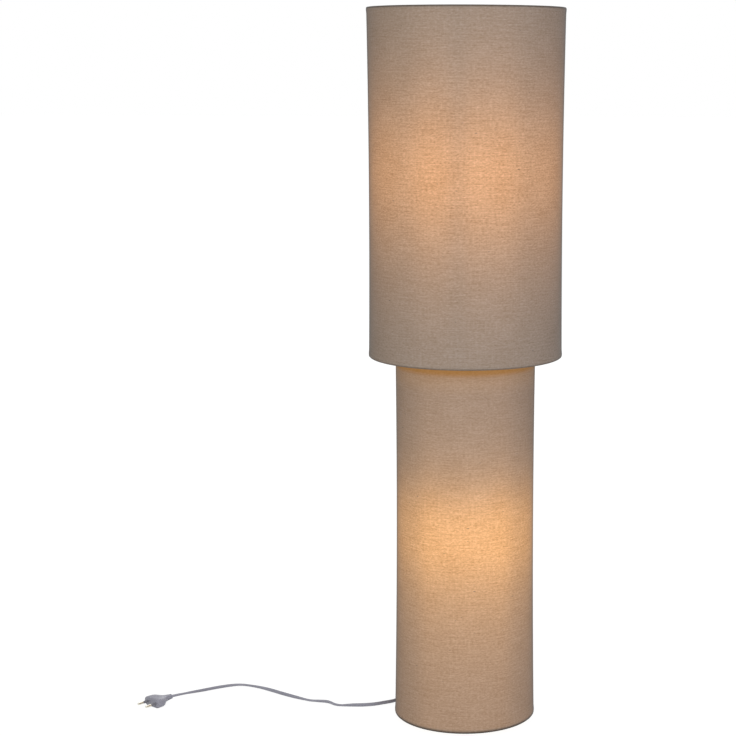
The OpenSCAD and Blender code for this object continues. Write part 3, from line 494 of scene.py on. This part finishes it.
coil_rows = [Vector((0, 264, 3.8, 90))]
coil_rows += [coil_row(360 * i / COIL_RINGS) for i in range(int(COIL_RINGS * COIL_TURNS) + 1)]
coil_rows += [Vector((-72, 264, 9.9, 90))]
coil = finish_piece(
    cord_tube("coiled_cord", coil_rows, (0, 1, 0), (0, -1, 0)), cord_vinyl,
    stands_for=["cord_coil"], angle=60)

# ------------------------------------------------------------------ plug
# Flat two-pin plug in the cord's own vinyl, moulded in one: slim at the cord,
# with grip ribs, and broad at the pins.
PLUG_X, PLUG_Y, PLUG_Z, PLUG_TURN = -449, 51, 6.85, 228
OFF_MIDDLE = 1e-6        # corners nearer the plug's middle than this stay on it


def widen(extra):
    """Moves the two halves of the selected ring apart along Y, by extra millimetres in all."""
    mesh = bmesh.from_edit_mesh(bpy.context.object.data)
    ring = [v for v in mesh.verts if v.select]
    for side in (1, -1):
        for v in ring:
            v.select = False
        for v in ring:
            if v.co.y * side > OFF_MIDDLE:
                v.select = True
        bpy.ops.transform.translate(value=(0, side * extra / 2000, 0))
    for v in ring:
        v.select = True
    mesh.select_flush(True)


plug_shape = [
    (0, 7.4, 6.0), (0.6, 8.5, 7.0), (2.2, 8.7, 7.1), (2.6, 7.7, 6.3), (3.6, 7.9, 6.4),
    (4.0, 9.2, 7.5), (5.6, 9.6, 7.7), (6.0, 8.6, 6.9), (7.0, 8.9, 7.0), (7.4, 10.4, 8.1),
    (9.0, 11.0, 8.4),
    (9.4, 10.2, 7.7), (10.4, 10.7, 7.9), (10.8, 12.2, 8.9), (14, 14.0, 9.5), (17.5, 19.0, 11.0),
    (21, 25.5, 12.6), (24, 30.6, 13.6), (27, 33.2, 13.7), (31, 34.4, 13.7), (37.2, 34.6, 13.7),
    (37.8, 34.2, 13.2), (38, 33.4, 12.4)]
plug = start_ring("plug", 32, plug_shape[0][2] / 2, 0, 0, 0,
                  (math.radians(90), 0, math.radians(90)))
widen(plug_shape[0][1] - plug_shape[0][2])
for (x0, w0, t0), (x1, w1, t1) in zip(plug_shape, plug_shape[1:]):
    draw_out((x1 - x0, 0, 0), (x1, 0, 0), (1, t1 / t0, t1 / t0))
    widen((w1 - t1) - (w0 - t0) * t1 / t0)
bpy.ops.object.mode_set(mode="OBJECT")
plug.data.transform(Matrix.Translation((PLUG_X / 1000, PLUG_Y / 1000, PLUG_Z / 1000))
                    @ Matrix.Rotation(math.radians(PLUG_TURN), 4, "Z"))
bpy.ops.object.mode_set(mode="EDIT")
finish_piece(plug, cord_vinyl, stands_for=["plug_body"], angle=32)

# ------------------------------------------------------------- plug pins
# Two round nickel-plated pins, sleeved in grey plastic next to the plug.
pin_finish = metal("sleeved_pins", (0.62, 0.60, 0.52), (0.74, 0.72, 0.64),
                   rough=0.22, grain=(500, 500, 500))
plug_way = Vector((math.cos(math.radians(PLUG_TURN)), math.sin(math.radians(PLUG_TURN)), 0))
along = pin_finish.add("ShaderNodeVectorMath", pin_finish.place, tuple(plug_way),
                       operation="DOT_PRODUCT").outputs["Value"]
SLEEVED = 0.0475         # from the plug's start to the bare metal
sleeve_end = plug_way.dot(Vector((PLUG_X, PLUG_Y, 0))) / 1000 + SLEEVED
bare = pin_finish.maths("GREATER_THAN", along, sleeve_end)
pin_finish.set(
    Base_Color=pin_finish.between(bare, (0.20, 0.20, 0.23), (0.68, 0.66, 0.58)),
    Metallic=bare,
    Roughness=pin_finish.spread(bare, 0, 1, 0.48, 0.2),
)
coat_nodes(pin_finish, "plug_pins")

# -------------------------------------------------- cord across the floor
# From the coil it comes down to the floor, passes the column's left side on
# its edge, lies over flat in three places, and ends in the plug.
floor_rows = smooth_route([
    (-72, 264, 9.9, 90), (-72, 258.4, 9.9, 90), (-72.6, 250, 8, 90), (-73.4, 241, 5.3, 90),
    (-74.2, 232, 3.6, 90), (-75, 220, 2.8, 90), (-82, 184, 2.8, 90), (-90, 145, 2.8, 90),
    (-97, 98, 2.8, 90), (-100.4, 60.5, 2.8, 90), (-102.5, 52.9, 2.8, 90), (-107, 46.3, 2.8, 90),
    (-113, 41.8, 2.8, 90), (-124, 36, 2.8, 90), (-138, 29.3, 2.8, 90), (-154, 25.8, 2.8, 88),
    (-168, 25.2, 2.8, 72), (-177.5, 25.2, 2.5, 44), (-185.5, 25.4, 2.2, 22),
    (-191.7, 26.3, 2.3, 26), (-197.4, 29.2, 2.5, 42), (-201.8, 33.6, 2.7, 54),
    (-206.9, 38.5, 2.8, 58), (-213.2, 41.3, 2.8, 54), (-223, 43.4, 2.6, 38), (-236, 47.2, 2.2, 14),
    (-250, 54.4, 2.6, 46), (-266, 65, 2.8, 78), (-283, 77.8, 2.8, 90), (-300, 91.6, 2.8, 86),
    (-317, 103.8, 2.7, 52), (-332, 112.3, 2.4, 30), (-346, 117.4, 2.4, 26), (-357, 117.2, 2.5, 34),
    (-370, 112.3, 2.7, 50), (-387, 103.2, 2.8, 60), (-404, 92.4, 2.8, 58), (-421, 79.4, 3.7, 40),
    (-438, 63, 5.6, 10), (PLUG_X, PLUG_Y, PLUG_Z, 0)])
floor_cord = finish_piece(
    cord_tube("cord_to_plug", floor_rows, (0, -1, 0), plug_way), cord_vinyl,
    stands_for=["cord_plug_end"], angle=60)

# ------------------------------------------------------------------ studio
# A pale floor that keeps the lamp's shadow, a white surround, and three large
# soft lamps: two in front and one behind.
bpy.ops.object.select_all(action="DESELECT")
FLOOR_SIZE, FLOOR_DROP = 60, 0.0004
bpy.ops.mesh.primitive_plane_add(size=FLOOR_SIZE, location=(0, 0, -FLOOR_DROP))
floor = bpy.context.object
floor.name = "floor"
floor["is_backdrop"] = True


def seen_directly(finish):
    """1 where the camera, a mirror or glass sees it, and 0 for the light that it gives."""
    rays = finish.add("ShaderNodeLightPath").outputs
    most = finish.maths("MAXIMUM", rays["Is Camera Ray"], rays["Is Glossy Ray"])
    return finish.maths("MAXIMUM", most, rays["Is Transmission Ray"])


paper = Finish("paper_floor")
fibres = paper.noise((40, 40, 40), 4)
paper.set(
    Base_Color=paper.between(fibres, (0.78, 0.78, 0.78), (0.82, 0.82, 0.82)),
    Roughness=0.95,
    Specular_IOR_Level=0.1,
)
FLOOR_WHITE, WHITE_SHARE = 1.16, 0.80
white = paper.add("ShaderNodeEmission", (1, 1, 1), FLOOR_WHITE).outputs[0]
white_share = paper.maths("MULTIPLY", seen_directly(paper), WHITE_SHARE)
blend = paper.add("ShaderNodeMixShader", white_share, paper.shader.outputs[0], white).outputs[0]
paper.tree.links.new(blend, paper.tree.nodes["Material Output"].inputs["Surface"])
floor.data.materials.append(paper.material)


class Surround(Finish):
    """The white light from all round, made with the same calls as a material."""

    def __init__(self, name):
        world = bpy.data.worlds.new(name)
        bpy.context.scene.world = world
        world.use_nodes = True
        self.tree = world.node_tree
        self.shader = self.tree.nodes["Background"]


AMBIENT = 0.52
surround = Surround("surround")
surround.set(Color=(1, 1, 1),
             Strength=surround.spread(seen_directly(surround), 0, 1, AMBIENT, 1.0))


def soft_lamp(name, place, size, power, colour=(1, 1, 1)):
    """A square lamp turned to the middle of the object."""
    lamp_data = bpy.data.lights.new(name, "AREA")
    lamp_data.shape = "SQUARE"
    lamp_data.size = size
    lamp_data.energy = power
    lamp_data.color = colour
    lamp = bpy.data.objects.new(name, lamp_data)
    bpy.context.scene.collection.objects.link(lamp)
    lamp.location = place
    lamp.rotation_euler = (Vector(LAMP_AIM) - Vector(place)).to_track_quat("-Z", "Y").to_euler()


LAMP_AIM = (0, 0, 0.55)
soft_lamp("front_left", (-1.6, -3.4, 2.0), size=1.8, power=34, colour=(1.0, 0.955, 0.80))
soft_lamp("front_right", (1.6, -3.4, 2.0), size=1.8, power=34, colour=(0.965, 1.0, 1.09))
soft_lamp("behind", (0.4, 3.6, 2.4), size=2.2, power=40)

# ---------------------------------------------------------------- base
# A 2.4 kg disc of steel in black powder coat keeps the lamp upright. Under it
# is a foam pad with a pocket for the nut and a channel for the cord.
powder_coat = moulded("powder_coat", (0.016, 0.016, 0.018), (0.026, 0.026, 0.028),
                      rough=0.48, grain=650, depth=0.00012)
coat_nodes(powder_coat, "base_plate")
foam = moulded("foam_pad", (0.010, 0.010, 0.010), (0.022, 0.022, 0.022),
               rough=0.9, grain=1800, depth=0.0003)
coat_nodes(foam, "base_pad")
coat_nodes(zinc_plate, "base_washer", "base_nut")

# ---------------------------------------------------------------- pole
# Two lengths of nickel-plated steel tube, joined by a hollow brass stud, and
# drawn along their length, so the marks run up and down.
nickel = metal("nickel_tube", (0.60, 0.59, 0.57), (0.72, 0.71, 0.69),
               rough=0.24, grain=(1800, 1800, 14), depth=0.000015)
coat_nodes(nickel, "lower_pole", "upper_pole")
brass = metal("plain_brass", (0.58, 0.42, 0.17), (0.72, 0.55, 0.27),
              rough=0.3, grain=(350, 350, 350))
coat_nodes(brass, "pole_stud", "lower_nipple", "upper_nipple", "lower_holder_thread",
           "upper_holder_thread")

# --------------------------------------------------------------- cap nut
# Round nickel-plated nut on the pole's tip, knurled so that it can be turned
# by hand. It holds the drum's hub down.
NUT_Z, NUT_TEETH, TOOTH, KNURL_FROM, KNURL_TO = 1023.2, 90, 0.00024, 2, 9
nut_shape = [(5.1, 0), (8.2, 0), (8.7, 0.6), (8.7, 1.6), (8.75, 1.9), (8.75, 9.0), (8.7, 9.3),
             (8.7, 10.0), (8.2, 11.4), (7.0, 12.2), (5.2, 12.8), (2.6, 13.0), (0.05, 13.0)]
cap_nut = turned("knurled_nut", [(radius, NUT_Z + height) for radius, height in nut_shape],
                 corners=NUT_TEETH)
bpy.ops.mesh.select_all(action="DESELECT")
bpy.ops.mesh.select_mode(type="FACE")
shell = bmesh.from_edit_mesh(cap_nut.data)
for face in shell.faces:
    middle = face.calc_center_median()
    turn = math.atan2(middle.y, middle.x) % (2 * math.pi)
    tooth = round(turn / (2 * math.pi) * NUT_TEETH - 0.5)
    knurled = KNURL_FROM < middle.z * 1000 - NUT_Z < KNURL_TO
    face.select = knurled and abs(face.normal.z) < 0.2 and tooth % 2 == 0
bmesh.update_edit_mesh(cap_nut.data)
bpy.ops.mesh.extrude_region_shrink_fatten(TRANSFORM_OT_shrink_fatten={"value": TOOTH})
bpy.ops.mesh.select_mode(type="VERT")
finish_piece(cap_nut, nickel, stands_for=["cap_nut"])

# ------------------------------------------------------------ wire frames
# Rings and arms of steel wire, welded to pressed hubs and coated in white
# epoxy, which pools a little and stays glossy.
white_epoxy = moulded("white_epoxy", (0.72, 0.71, 0.67), (0.80, 0.79, 0.75),
                      rough=0.3, grain=260, depth=0.00008)
coat_nodes(white_epoxy, "column_bottom_frame", "column_top_frame", "drum_top_frame",
           "drum_bottom_ring")

# ---------------------------------------------------------- column's cloth
# Slubby linen laminated to a white plastic liner, rolled over a wire ring at
# each end and lapped 9 mm at the back. The bulb inside makes it glow.
HEM_R, HEM_PROUD, HEM_STEPS, LINED, LAP = 3.3, 0.4, 20, 1.0, 9.0
PLAIN_FROM, WALL_STEPS = 6, 28       # the plain wall starts this far from a hem's wire
SEAM_FROM, SEAM_PROUD, OUTWARDS = 5, 0.00045, 0.9


def cloth_tube(name, low_d, high_d, waist, bottom, height):
    """A tube of lined cloth with rolled hems and a seam lapped behind, in millimetres."""
    low, high = bottom + HEM_R, bottom + height - HEM_R
    steps = round(2 * math.pi * low_d / LAP)

    def wall(z, inwards):
        t = (z - low) / (high - low)
        return (low_d * (1 - t) + high_d * t) / 2 - 4 * waist * t * (1 - t) - inwards, z

    def hem(ring, z, start, end):
        points = []
        for k in range(HEM_STEPS + 1):
            a = math.radians(start + (end - start) * k / HEM_STEPS)
            reach = HEM_R * (math.cos(a) ** 4 + math.sin(a) ** 4) ** -0.25
            points.append((ring + reach * math.cos(a), z + reach * math.sin(a)))
        return points

    meet_out = math.degrees(math.acos((HEM_R - HEM_PROUD) / HEM_R))
    meet_in = math.degrees(math.acos((HEM_R - HEM_PROUD - LINED) / HEM_R))
    plain = high - low - 2 * PLAIN_FROM
    levels = [low + PLAIN_FROM + plain * k / WALL_STEPS for k in range(WALL_STEPS + 1)]
    outline = hem(low_d / 2 + HEM_PROUD - HEM_R, low, meet_in, 360 + meet_out)
    outline += [wall(z, 0) for z in levels]
    outline += hem(high_d / 2 + HEM_PROUD - HEM_R, high, -meet_out, 360 - meet_in)
    outline += [wall(z, LINED) for z in reversed(levels)]
    count = len(outline)
    points = []
    for k in range(steps):
        turn = math.pi / 2 + 2 * math.pi * k / steps
        points += [(r * math.cos(turn) / 1000, r * math.sin(turn) / 1000, z / 1000)
                   for r, z in outline]
    faces = []
    for k in range(steps):
        near, far = k * count, (k + 1) % steps * count
        faces += [(near + j, near + (j + 1) % count, far + (j + 1) % count, far + j)
                  for j in range(count)]
    mesh = bpy.data.meshes.new(name)
    mesh.from_pydata(points, [], faces)
    tube = bpy.data.objects.new(name, mesh)
    bpy.context.scene.collection.objects.link(tube)
    bpy.ops.object.select_all(action="DESELECT")
    tube.select_set(True)
    bpy.context.view_layer.objects.active = tube
    bpy.ops.object.mode_set(mode="EDIT")
    bpy.ops.mesh.select_mode(type="FACE")
    bpy.ops.mesh.select_all(action="SELECT")
    bpy.ops.mesh.normals_make_consistent(inside=False)
    bpy.ops.mesh.select_all(action="DESELECT")
    shell = bmesh.from_edit_mesh(mesh)
    for face in shell.faces:
        middle = face.calc_center_median()
        away = Vector((middle.x, middle.y, 0))
        outside = away.dot(face.normal) > OUTWARDS * away.length
        level = low + SEAM_FROM < middle.z * 1000 < high - SEAM_FROM
        behind = abs(math.atan2(middle.x, middle.y)) < 2 * math.pi / steps
        face.select = outside and level and behind
    bmesh.update_edit_mesh(mesh)
    bpy.ops.mesh.extrude_region_shrink_fatten(TRANSFORM_OT_shrink_fatten={"value": SEAM_PROUD})
    bpy.ops.mesh.select_mode(type="VERT")
    return tube


LINEN = (0.300, 0.250, 0.212)
YARN_TONES = (0.95, 1.15, 1.5)       # how far uneven yarns change red, green and blue
THREAD = 2 * math.pi / 0.0014        # a thread over and a thread under in 1.4 mm
WANDER_ALONG, WANDER_UP = 0.0008, 0.0005
CROSSING, GLOW_CONTRAST, CONTRAST = 0.05, 0.50, 0.85
KNOT_FROM, KNOT_TO, KNOT_SHADE = 0.855, 0.88, 0.6
SEAM_HALF, SEAM_SOFT, SEAM_SHADE = 0.0052, 0.0006, 0.78
HEM_FROM, HEM_TO, HEM_SHADE = 0.0030, 0.0075, 0.72
RIM_FROM, RIM_INNER, RIM_OUTER = 0.0010, 0.0025, 0.0005
SIDE_REACH, SIDE_SHADE = 0.32, 0.78
POLE_TURN, POLE_WIDTH = math.radians(4.5), 0.08
LEAK_COLOUR = (0.200, 0.092, 0.014)
# Light from under the drum, and the drum's shade: from and to a height, and how much at each.
FAINT_LEAK, STRONG_LEAK = (0.497, 0.527, 0, 0.24), (0.5265, 0.5350, 0, 0.72)
DRUM_SHADE = (0.5265, 0.5355, 1, 0.35)
SHEER = 0.86             # the lamination darkens what lies under it by this much


def under_film(colour):
    """A colour written lighter, so that it shows as given through the sheer coat."""
    return tuple(c / SHEER for c in colour)


def linen(name, radius, ends, glow, peak, haze, lean, even, rims, shadow=0.0, leak=False):
    """Lined linen that glows round a bulb, with lengths in metres.

    glow gives how bright it is at a height. peak and haze are the light's colours in the
    patch and all over, lean makes one side brighter, and past even the glow is painted
    dimmer at the sides. rims gives how far and how dark the painted shade on the two rims
    reaches. shadow is the pole's painted shadow, and leak is the light from under the drum.
    """
    finish = Finish(name)
    x, y, z = finish.add("ShaderNodeSeparateXYZ", finish.place).outputs
    turn = finish.maths("ARCTAN2", x, finish.maths("MULTIPLY", y, -1))
    around = finish.maths("MULTIPLY", turn, radius)

    # the yarns: slubs, short and fine unevenness along and up, and a few dark knots
    weave = finish.add("ShaderNodeCombineXYZ", around, z, 0.0).outputs[0]
    slubs = finish.noise((28, 520, 1), 3, weave)
    short = finish.noise((220, 460, 1), 1, weave)
    fine = finish.noise((330, 800, 1), 2, weave)
    warp = finish.noise((700, 40, 1), 2, weave)
    clouds = finish.noise((16, 22, 1), 3, weave)
    knots = finish.noise((110, 420, 1), 0, weave)
    over = finish.maths("MULTIPLY_ADD", short, WANDER_ALONG, around)
    under = finish.maths("MULTIPLY_ADD", fine, WANDER_UP, z)
    over = finish.maths("SINE", finish.maths("MULTIPLY", over, THREAD))
    under = finish.maths("SINE", finish.maths("MULTIPLY", under, THREAD))
    crossing = finish.maths("MULTIPLY", over, under)
    uneven = finish.maths("MULTIPLY", crossing, CROSSING)
    amounts = ((slubs, 0.44), (short, 0.50), (fine, 0.40), (warp, 0.18), (clouds, 0.14))
    for value, amount in amounts:
        swing = finish.maths("MULTIPLY", finish.maths("SUBTRACT", value, 0.5), amount)
        uneven = finish.maths("ADD", uneven, swing)
    bright = glow(finish, z)
    # where the glow is bright the yarns' unevenness is painted stronger, in the colour as well as
    # the light
    contrast = finish.maths("MULTIPLY_ADD", bright, GLOW_CONTRAST, CONTRAST)
    uneven = finish.maths("MULTIPLY", uneven, contrast)
    yarns = finish.vectors("MULTIPLY_ADD", uneven, YARN_TONES, (1, 1, 1))

    # painted shade: the rims are darker on their outer side
    knots_and_rim_shade = finish.spread(knots, KNOT_FROM, KNOT_TO, 1, KNOT_SHADE, smooth=True)
    above = finish.maths("SUBTRACT", z, ends[0])
    below = finish.maths("SUBTRACT", ends[1], z)
    squares = finish.maths("ADD", finish.maths("MULTIPLY", x, x), finish.maths("MULTIPLY", y, y))
    out = finish.maths("SQRT", squares)
    for height, (reach, dark) in zip((above, below), rims):
        rim_shade = finish.spread(height, RIM_FROM, reach, dark, 1, smooth=True)
        rim_shade = finish.spread(out, radius - RIM_INNER, radius - RIM_OUTER, 1, rim_shade, smooth=True)
        knots_and_rim_shade = finish.maths("MULTIPLY", knots_and_rim_shade, rim_shade)
    shade = knots_and_rim_shade
    if leak:
        shade = finish.maths("MULTIPLY", knots_and_rim_shade, finish.spread(z, *DRUM_SHADE, smooth=True))
    cloth = finish.vectors("MULTIPLY", yarns, under_film(LINEN))

    # what dims the light from inside: hems, seam, the rims' painted shade, and painted side dimming
    rim = finish.maths("MINIMUM", above, below)
    hem = finish.spread(rim, HEM_FROM, HEM_TO, HEM_SHADE, 1, smooth=True)
    from_front, seam_edge = finish.maths("ABSOLUTE", around), math.pi * radius - SEAM_HALF
    seam = finish.spread(from_front, seam_edge, seam_edge + SEAM_SOFT, 1, SEAM_SHADE)
    sideways = finish.maths("SINE", turn)
    slant = finish.maths("ABSOLUTE", sideways)
    # painted side dimming: the glow is made dimmer towards the sides
    side_dimming = finish.spread(slant, even, even + SIDE_REACH, 1, SIDE_SHADE, smooth=True)
    through = finish.product(knots_and_rim_shade, knots_and_rim_shade, hem, seam, side_dimming)
    if shadow:
        off = finish.maths("DIVIDE", finish.maths("ADD", turn, POLE_TURN), POLE_WIDTH)
        dip = finish.maths("EXPONENT", finish.product(off, off, -0.5))
        bright = finish.maths("MULTIPLY", bright, finish.maths("MULTIPLY_ADD", dip, -shadow, 1.0))
    bright = finish.maths("MULTIPLY", bright, finish.maths("MULTIPLY_ADD", sideways, lean, 1.0))
    light = finish.times(under_film(peak), finish.maths("MULTIPLY", bright, through))
    light = finish.vectors("ADD", light, finish.times(under_film(haze), through))
    light = finish.vectors("MULTIPLY", light, yarns)
    if leak:
        faint = finish.spread(z, *FAINT_LEAK, smooth=True)
        strong = finish.spread(z, *STRONG_LEAK, smooth=True)
        band = finish.times(under_film(LEAK_COLOUR), finish.maths("ADD", faint, strong))
        light = finish.vectors("ADD", light, band)

    finish.set(
        Base_Color=finish.times(cloth, shade),
        Roughness=0.86,
        Specular_IOR_Level=0.12,
        Emission_Color=light,
        Emission_Strength=1.0,
        Coat_Weight=1.0,
        Coat_IOR=1.0,
        Coat_Roughness=1.0,
        Coat_Tint=(SHEER, SHEER, SHEER),
        Sheen_Weight=0.30,
        Sheen_Roughness=0.35,
    )
    finish.material.cycles.emission_sampling = "NONE"
    yarn = finish.maths("ADD", fine, warp)
    yarn = finish.maths("ADD", finish.maths("MULTIPLY", slubs, 0.5), yarn)
    yarn = finish.maths("MULTIPLY_ADD", crossing, 0.3, yarn)
    return finish.bump(finish.maths("ADD", yarn, short), 0.45, 0.00025)


LINER_LIT, LINER_DIM, LINER_COLOUR = 0.80, 0.06, (0.95, 0.66, 0.36)
LINER_FROM = 0.007       # the liner starts this far from a shade's end


def liner(name, glow):
    """White plastic liner inside the cloth, lit by the bulb."""
    finish = Finish(name)
    z = finish.add("ShaderNodeSeparateXYZ", finish.place).outputs["Z"]
    lit = finish.maths("MULTIPLY_ADD", glow(finish, z), LINER_LIT, LINER_DIM)
    clouds = finish.noise((30, 30, 30), 3)
    finish.set(
        Base_Color=finish.between(clouds, (0.74, 0.72, 0.66), (0.80, 0.78, 0.72)),
        Roughness=0.55,
        Emission_Color=finish.times(LINER_COLOUR, lit),
        Emission_Strength=1.0,
    )
    finish.material.cycles.emission_sampling = "NONE"
    return finish.bump(finish.noise((300, 300, 500), 2), 0.2, 0.0001)


def line_inside(tube, finish, ends):
    """Gives the inner wall between the hems the liner's finish."""
    tube.data.materials.append(finish.material)
    for face in tube.data.polygons:
        x, y, z = face.center
        inwards = x * face.normal.x + y * face.normal.y < -OUTWARDS * math.hypot(x, y)
        lined = inwards and ends[0] + LINER_FROM < z < ends[1] - LINER_FROM
        face.material_index = 1 if lined else 0


def column_glow(finish, z):
    """How bright the column is at a height; its patch ends more sharply above than below."""
    centre, reach_up, power_up, reach_down, power_down = 0.2801, 0.0843, 3.442, 0.0787, 1.682
    up = finish.maths("MAXIMUM", finish.maths("SUBTRACT", z, centre), 0)
    down = finish.maths("MAXIMUM", finish.maths("SUBTRACT", centre, z), 0)
    up = finish.maths("POWER", finish.maths("DIVIDE", up, reach_up), power_up)
    down = finish.maths("POWER", finish.maths("DIVIDE", down, reach_down), power_down)
    return finish.maths("DIVIDE", 1, finish.maths("ADD", 1, finish.maths("ADD", up, down)))


COLUMN_ENDS = (0.005, 0.555)
column_linen = linen(
    "column_linen", radius=0.103, ends=COLUMN_ENDS, glow=column_glow, peak=(0.538, 0.228, 0.029),
    haze=(0.0927, 0.0360, 0.0078), lean=0.10, even=0.48, rims=((0.0055, 0.27), (0.0034, 0.32)),
    leak=True)
column_cloth = cloth_tube("column_linen_tube", low_d=208, high_d=204, waist=2,
                          bottom=5, height=550)
finish_piece(column_cloth, column_linen, stands_for=["column_cloth"], angle=40)
line_inside(column_cloth, liner("column_liner", column_glow), COLUMN_ENDS)

# ------------------------------------------------------------ drum's cloth
# The same lined linen on two larger rings. The pole stands in front of the
# upper bulb and throws a faint upright shadow on it.


def drum_glow(finish, z):
    """How bright the drum is at a height; it is wider, so its patch is softer."""
    centre, reach, power = 0.8157, 0.1355, -1.42
    off = finish.maths("DIVIDE", finish.maths("SUBTRACT", z, centre), reach)
    return finish.maths("POWER", finish.maths("MULTIPLY_ADD", off, off, 1), power)


DRUM_ENDS = (0.545, 1.045)
drum_linen = linen(
    "drum_linen", radius=0.1415, ends=DRUM_ENDS, glow=drum_glow, peak=(0.478, 0.175, 0.0195),
    haze=(0.0, 0.0040, 0.0060), lean=-0.03, even=0.34, rims=((0.0032, 0.60), (0.0036, 0.42)),
    shadow=0.14)
drum_cloth = cloth_tube("drum_linen_tube", low_d=281, high_d=284, waist=1.8,
                        bottom=545, height=500)
finish_piece(drum_cloth, drum_linen, stands_for=["drum_cloth"], angle=40)
line_inside(drum_cloth, liner("drum_liner", drum_glow), DRUM_ENDS)

# ------------------------------------------------- side arms and screws
# Pressed steel collars on the pole, zinc plated, each with a tongue for a
# lampholder and a screw at the front.
coat_nodes(zinc_plate, "lower_bracket", "upper_bracket", "bracket_screws")

# ----------------------------------------------------------- lampholders
# Ribbed black shells and cups round a glazed ceramic insert, with a brass
# sleeve for the bulb's cap. A hollow nipple fastens each to its side arm.
coat_nodes(black_plastic, "lower_holder_cap", "upper_holder_cap", "lower_holder_shell",
           "upper_holder_shell")
glaze = moulded("white_glaze", (0.74, 0.73, 0.68), (0.80, 0.79, 0.75),
                rough=0.16, grain=120, depth=0.00006)
coat_nodes(glaze, "lower_holder_insert", "upper_holder_insert")

# ---------------------------------------------------------------- bulbs
# Rolled aluminium screw caps, white heat-sink collars and opal plastic domes,
# which are lit.
cap_alloy = metal("rolled_aluminium", (0.66, 0.66, 0.66), (0.76, 0.76, 0.76),
                  rough=0.3, grain=(60, 60, 900))
coat_nodes(cap_alloy, "lower_bulb_cap", "upper_bulb_cap")
collar = moulded("white_collar", (0.76, 0.75, 0.72), (0.82, 0.81, 0.78),
                 rough=0.35, grain=800, depth=0.00004)
coat_nodes(collar, "lower_bulb_body", "upper_bulb_body")
opal = moulded("opal_dome", (0.80, 0.78, 0.72), (0.86, 0.84, 0.78),
               rough=0.3, grain=500, depth=0.00003)
opal_heat = opal.spread(opal.noise((50, 50, 50), 2), 0.3, 0.7, 0.92, 1.08)
opal.set(Emission_Color=opal.times((1.0, 0.80, 0.52), opal_heat), Emission_Strength=5.0)
coat_nodes(opal, "lower_bulb_dome", "upper_bulb_dome")

# ---------------------------------------------------------------- wiring
# White sheathed leads to the lampholders, the mains cord's last stretch, and
# the shrink sleeve over their joint in the pole.
white_sheath = moulded("white_sheath", (0.66, 0.66, 0.62), (0.74, 0.74, 0.70),
                       rough=0.45, grain=900, depth=0.00003)
coat_nodes(white_sheath, "lower_lead", "upper_lead")
coat_nodes(cord_vinyl, "inner_cord")
coat_nodes(black_plastic, "wire_splice")

# ----------------------------------------------------------------- sizes
# The box round the pieces that are shown, the floor left out.
low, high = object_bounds()
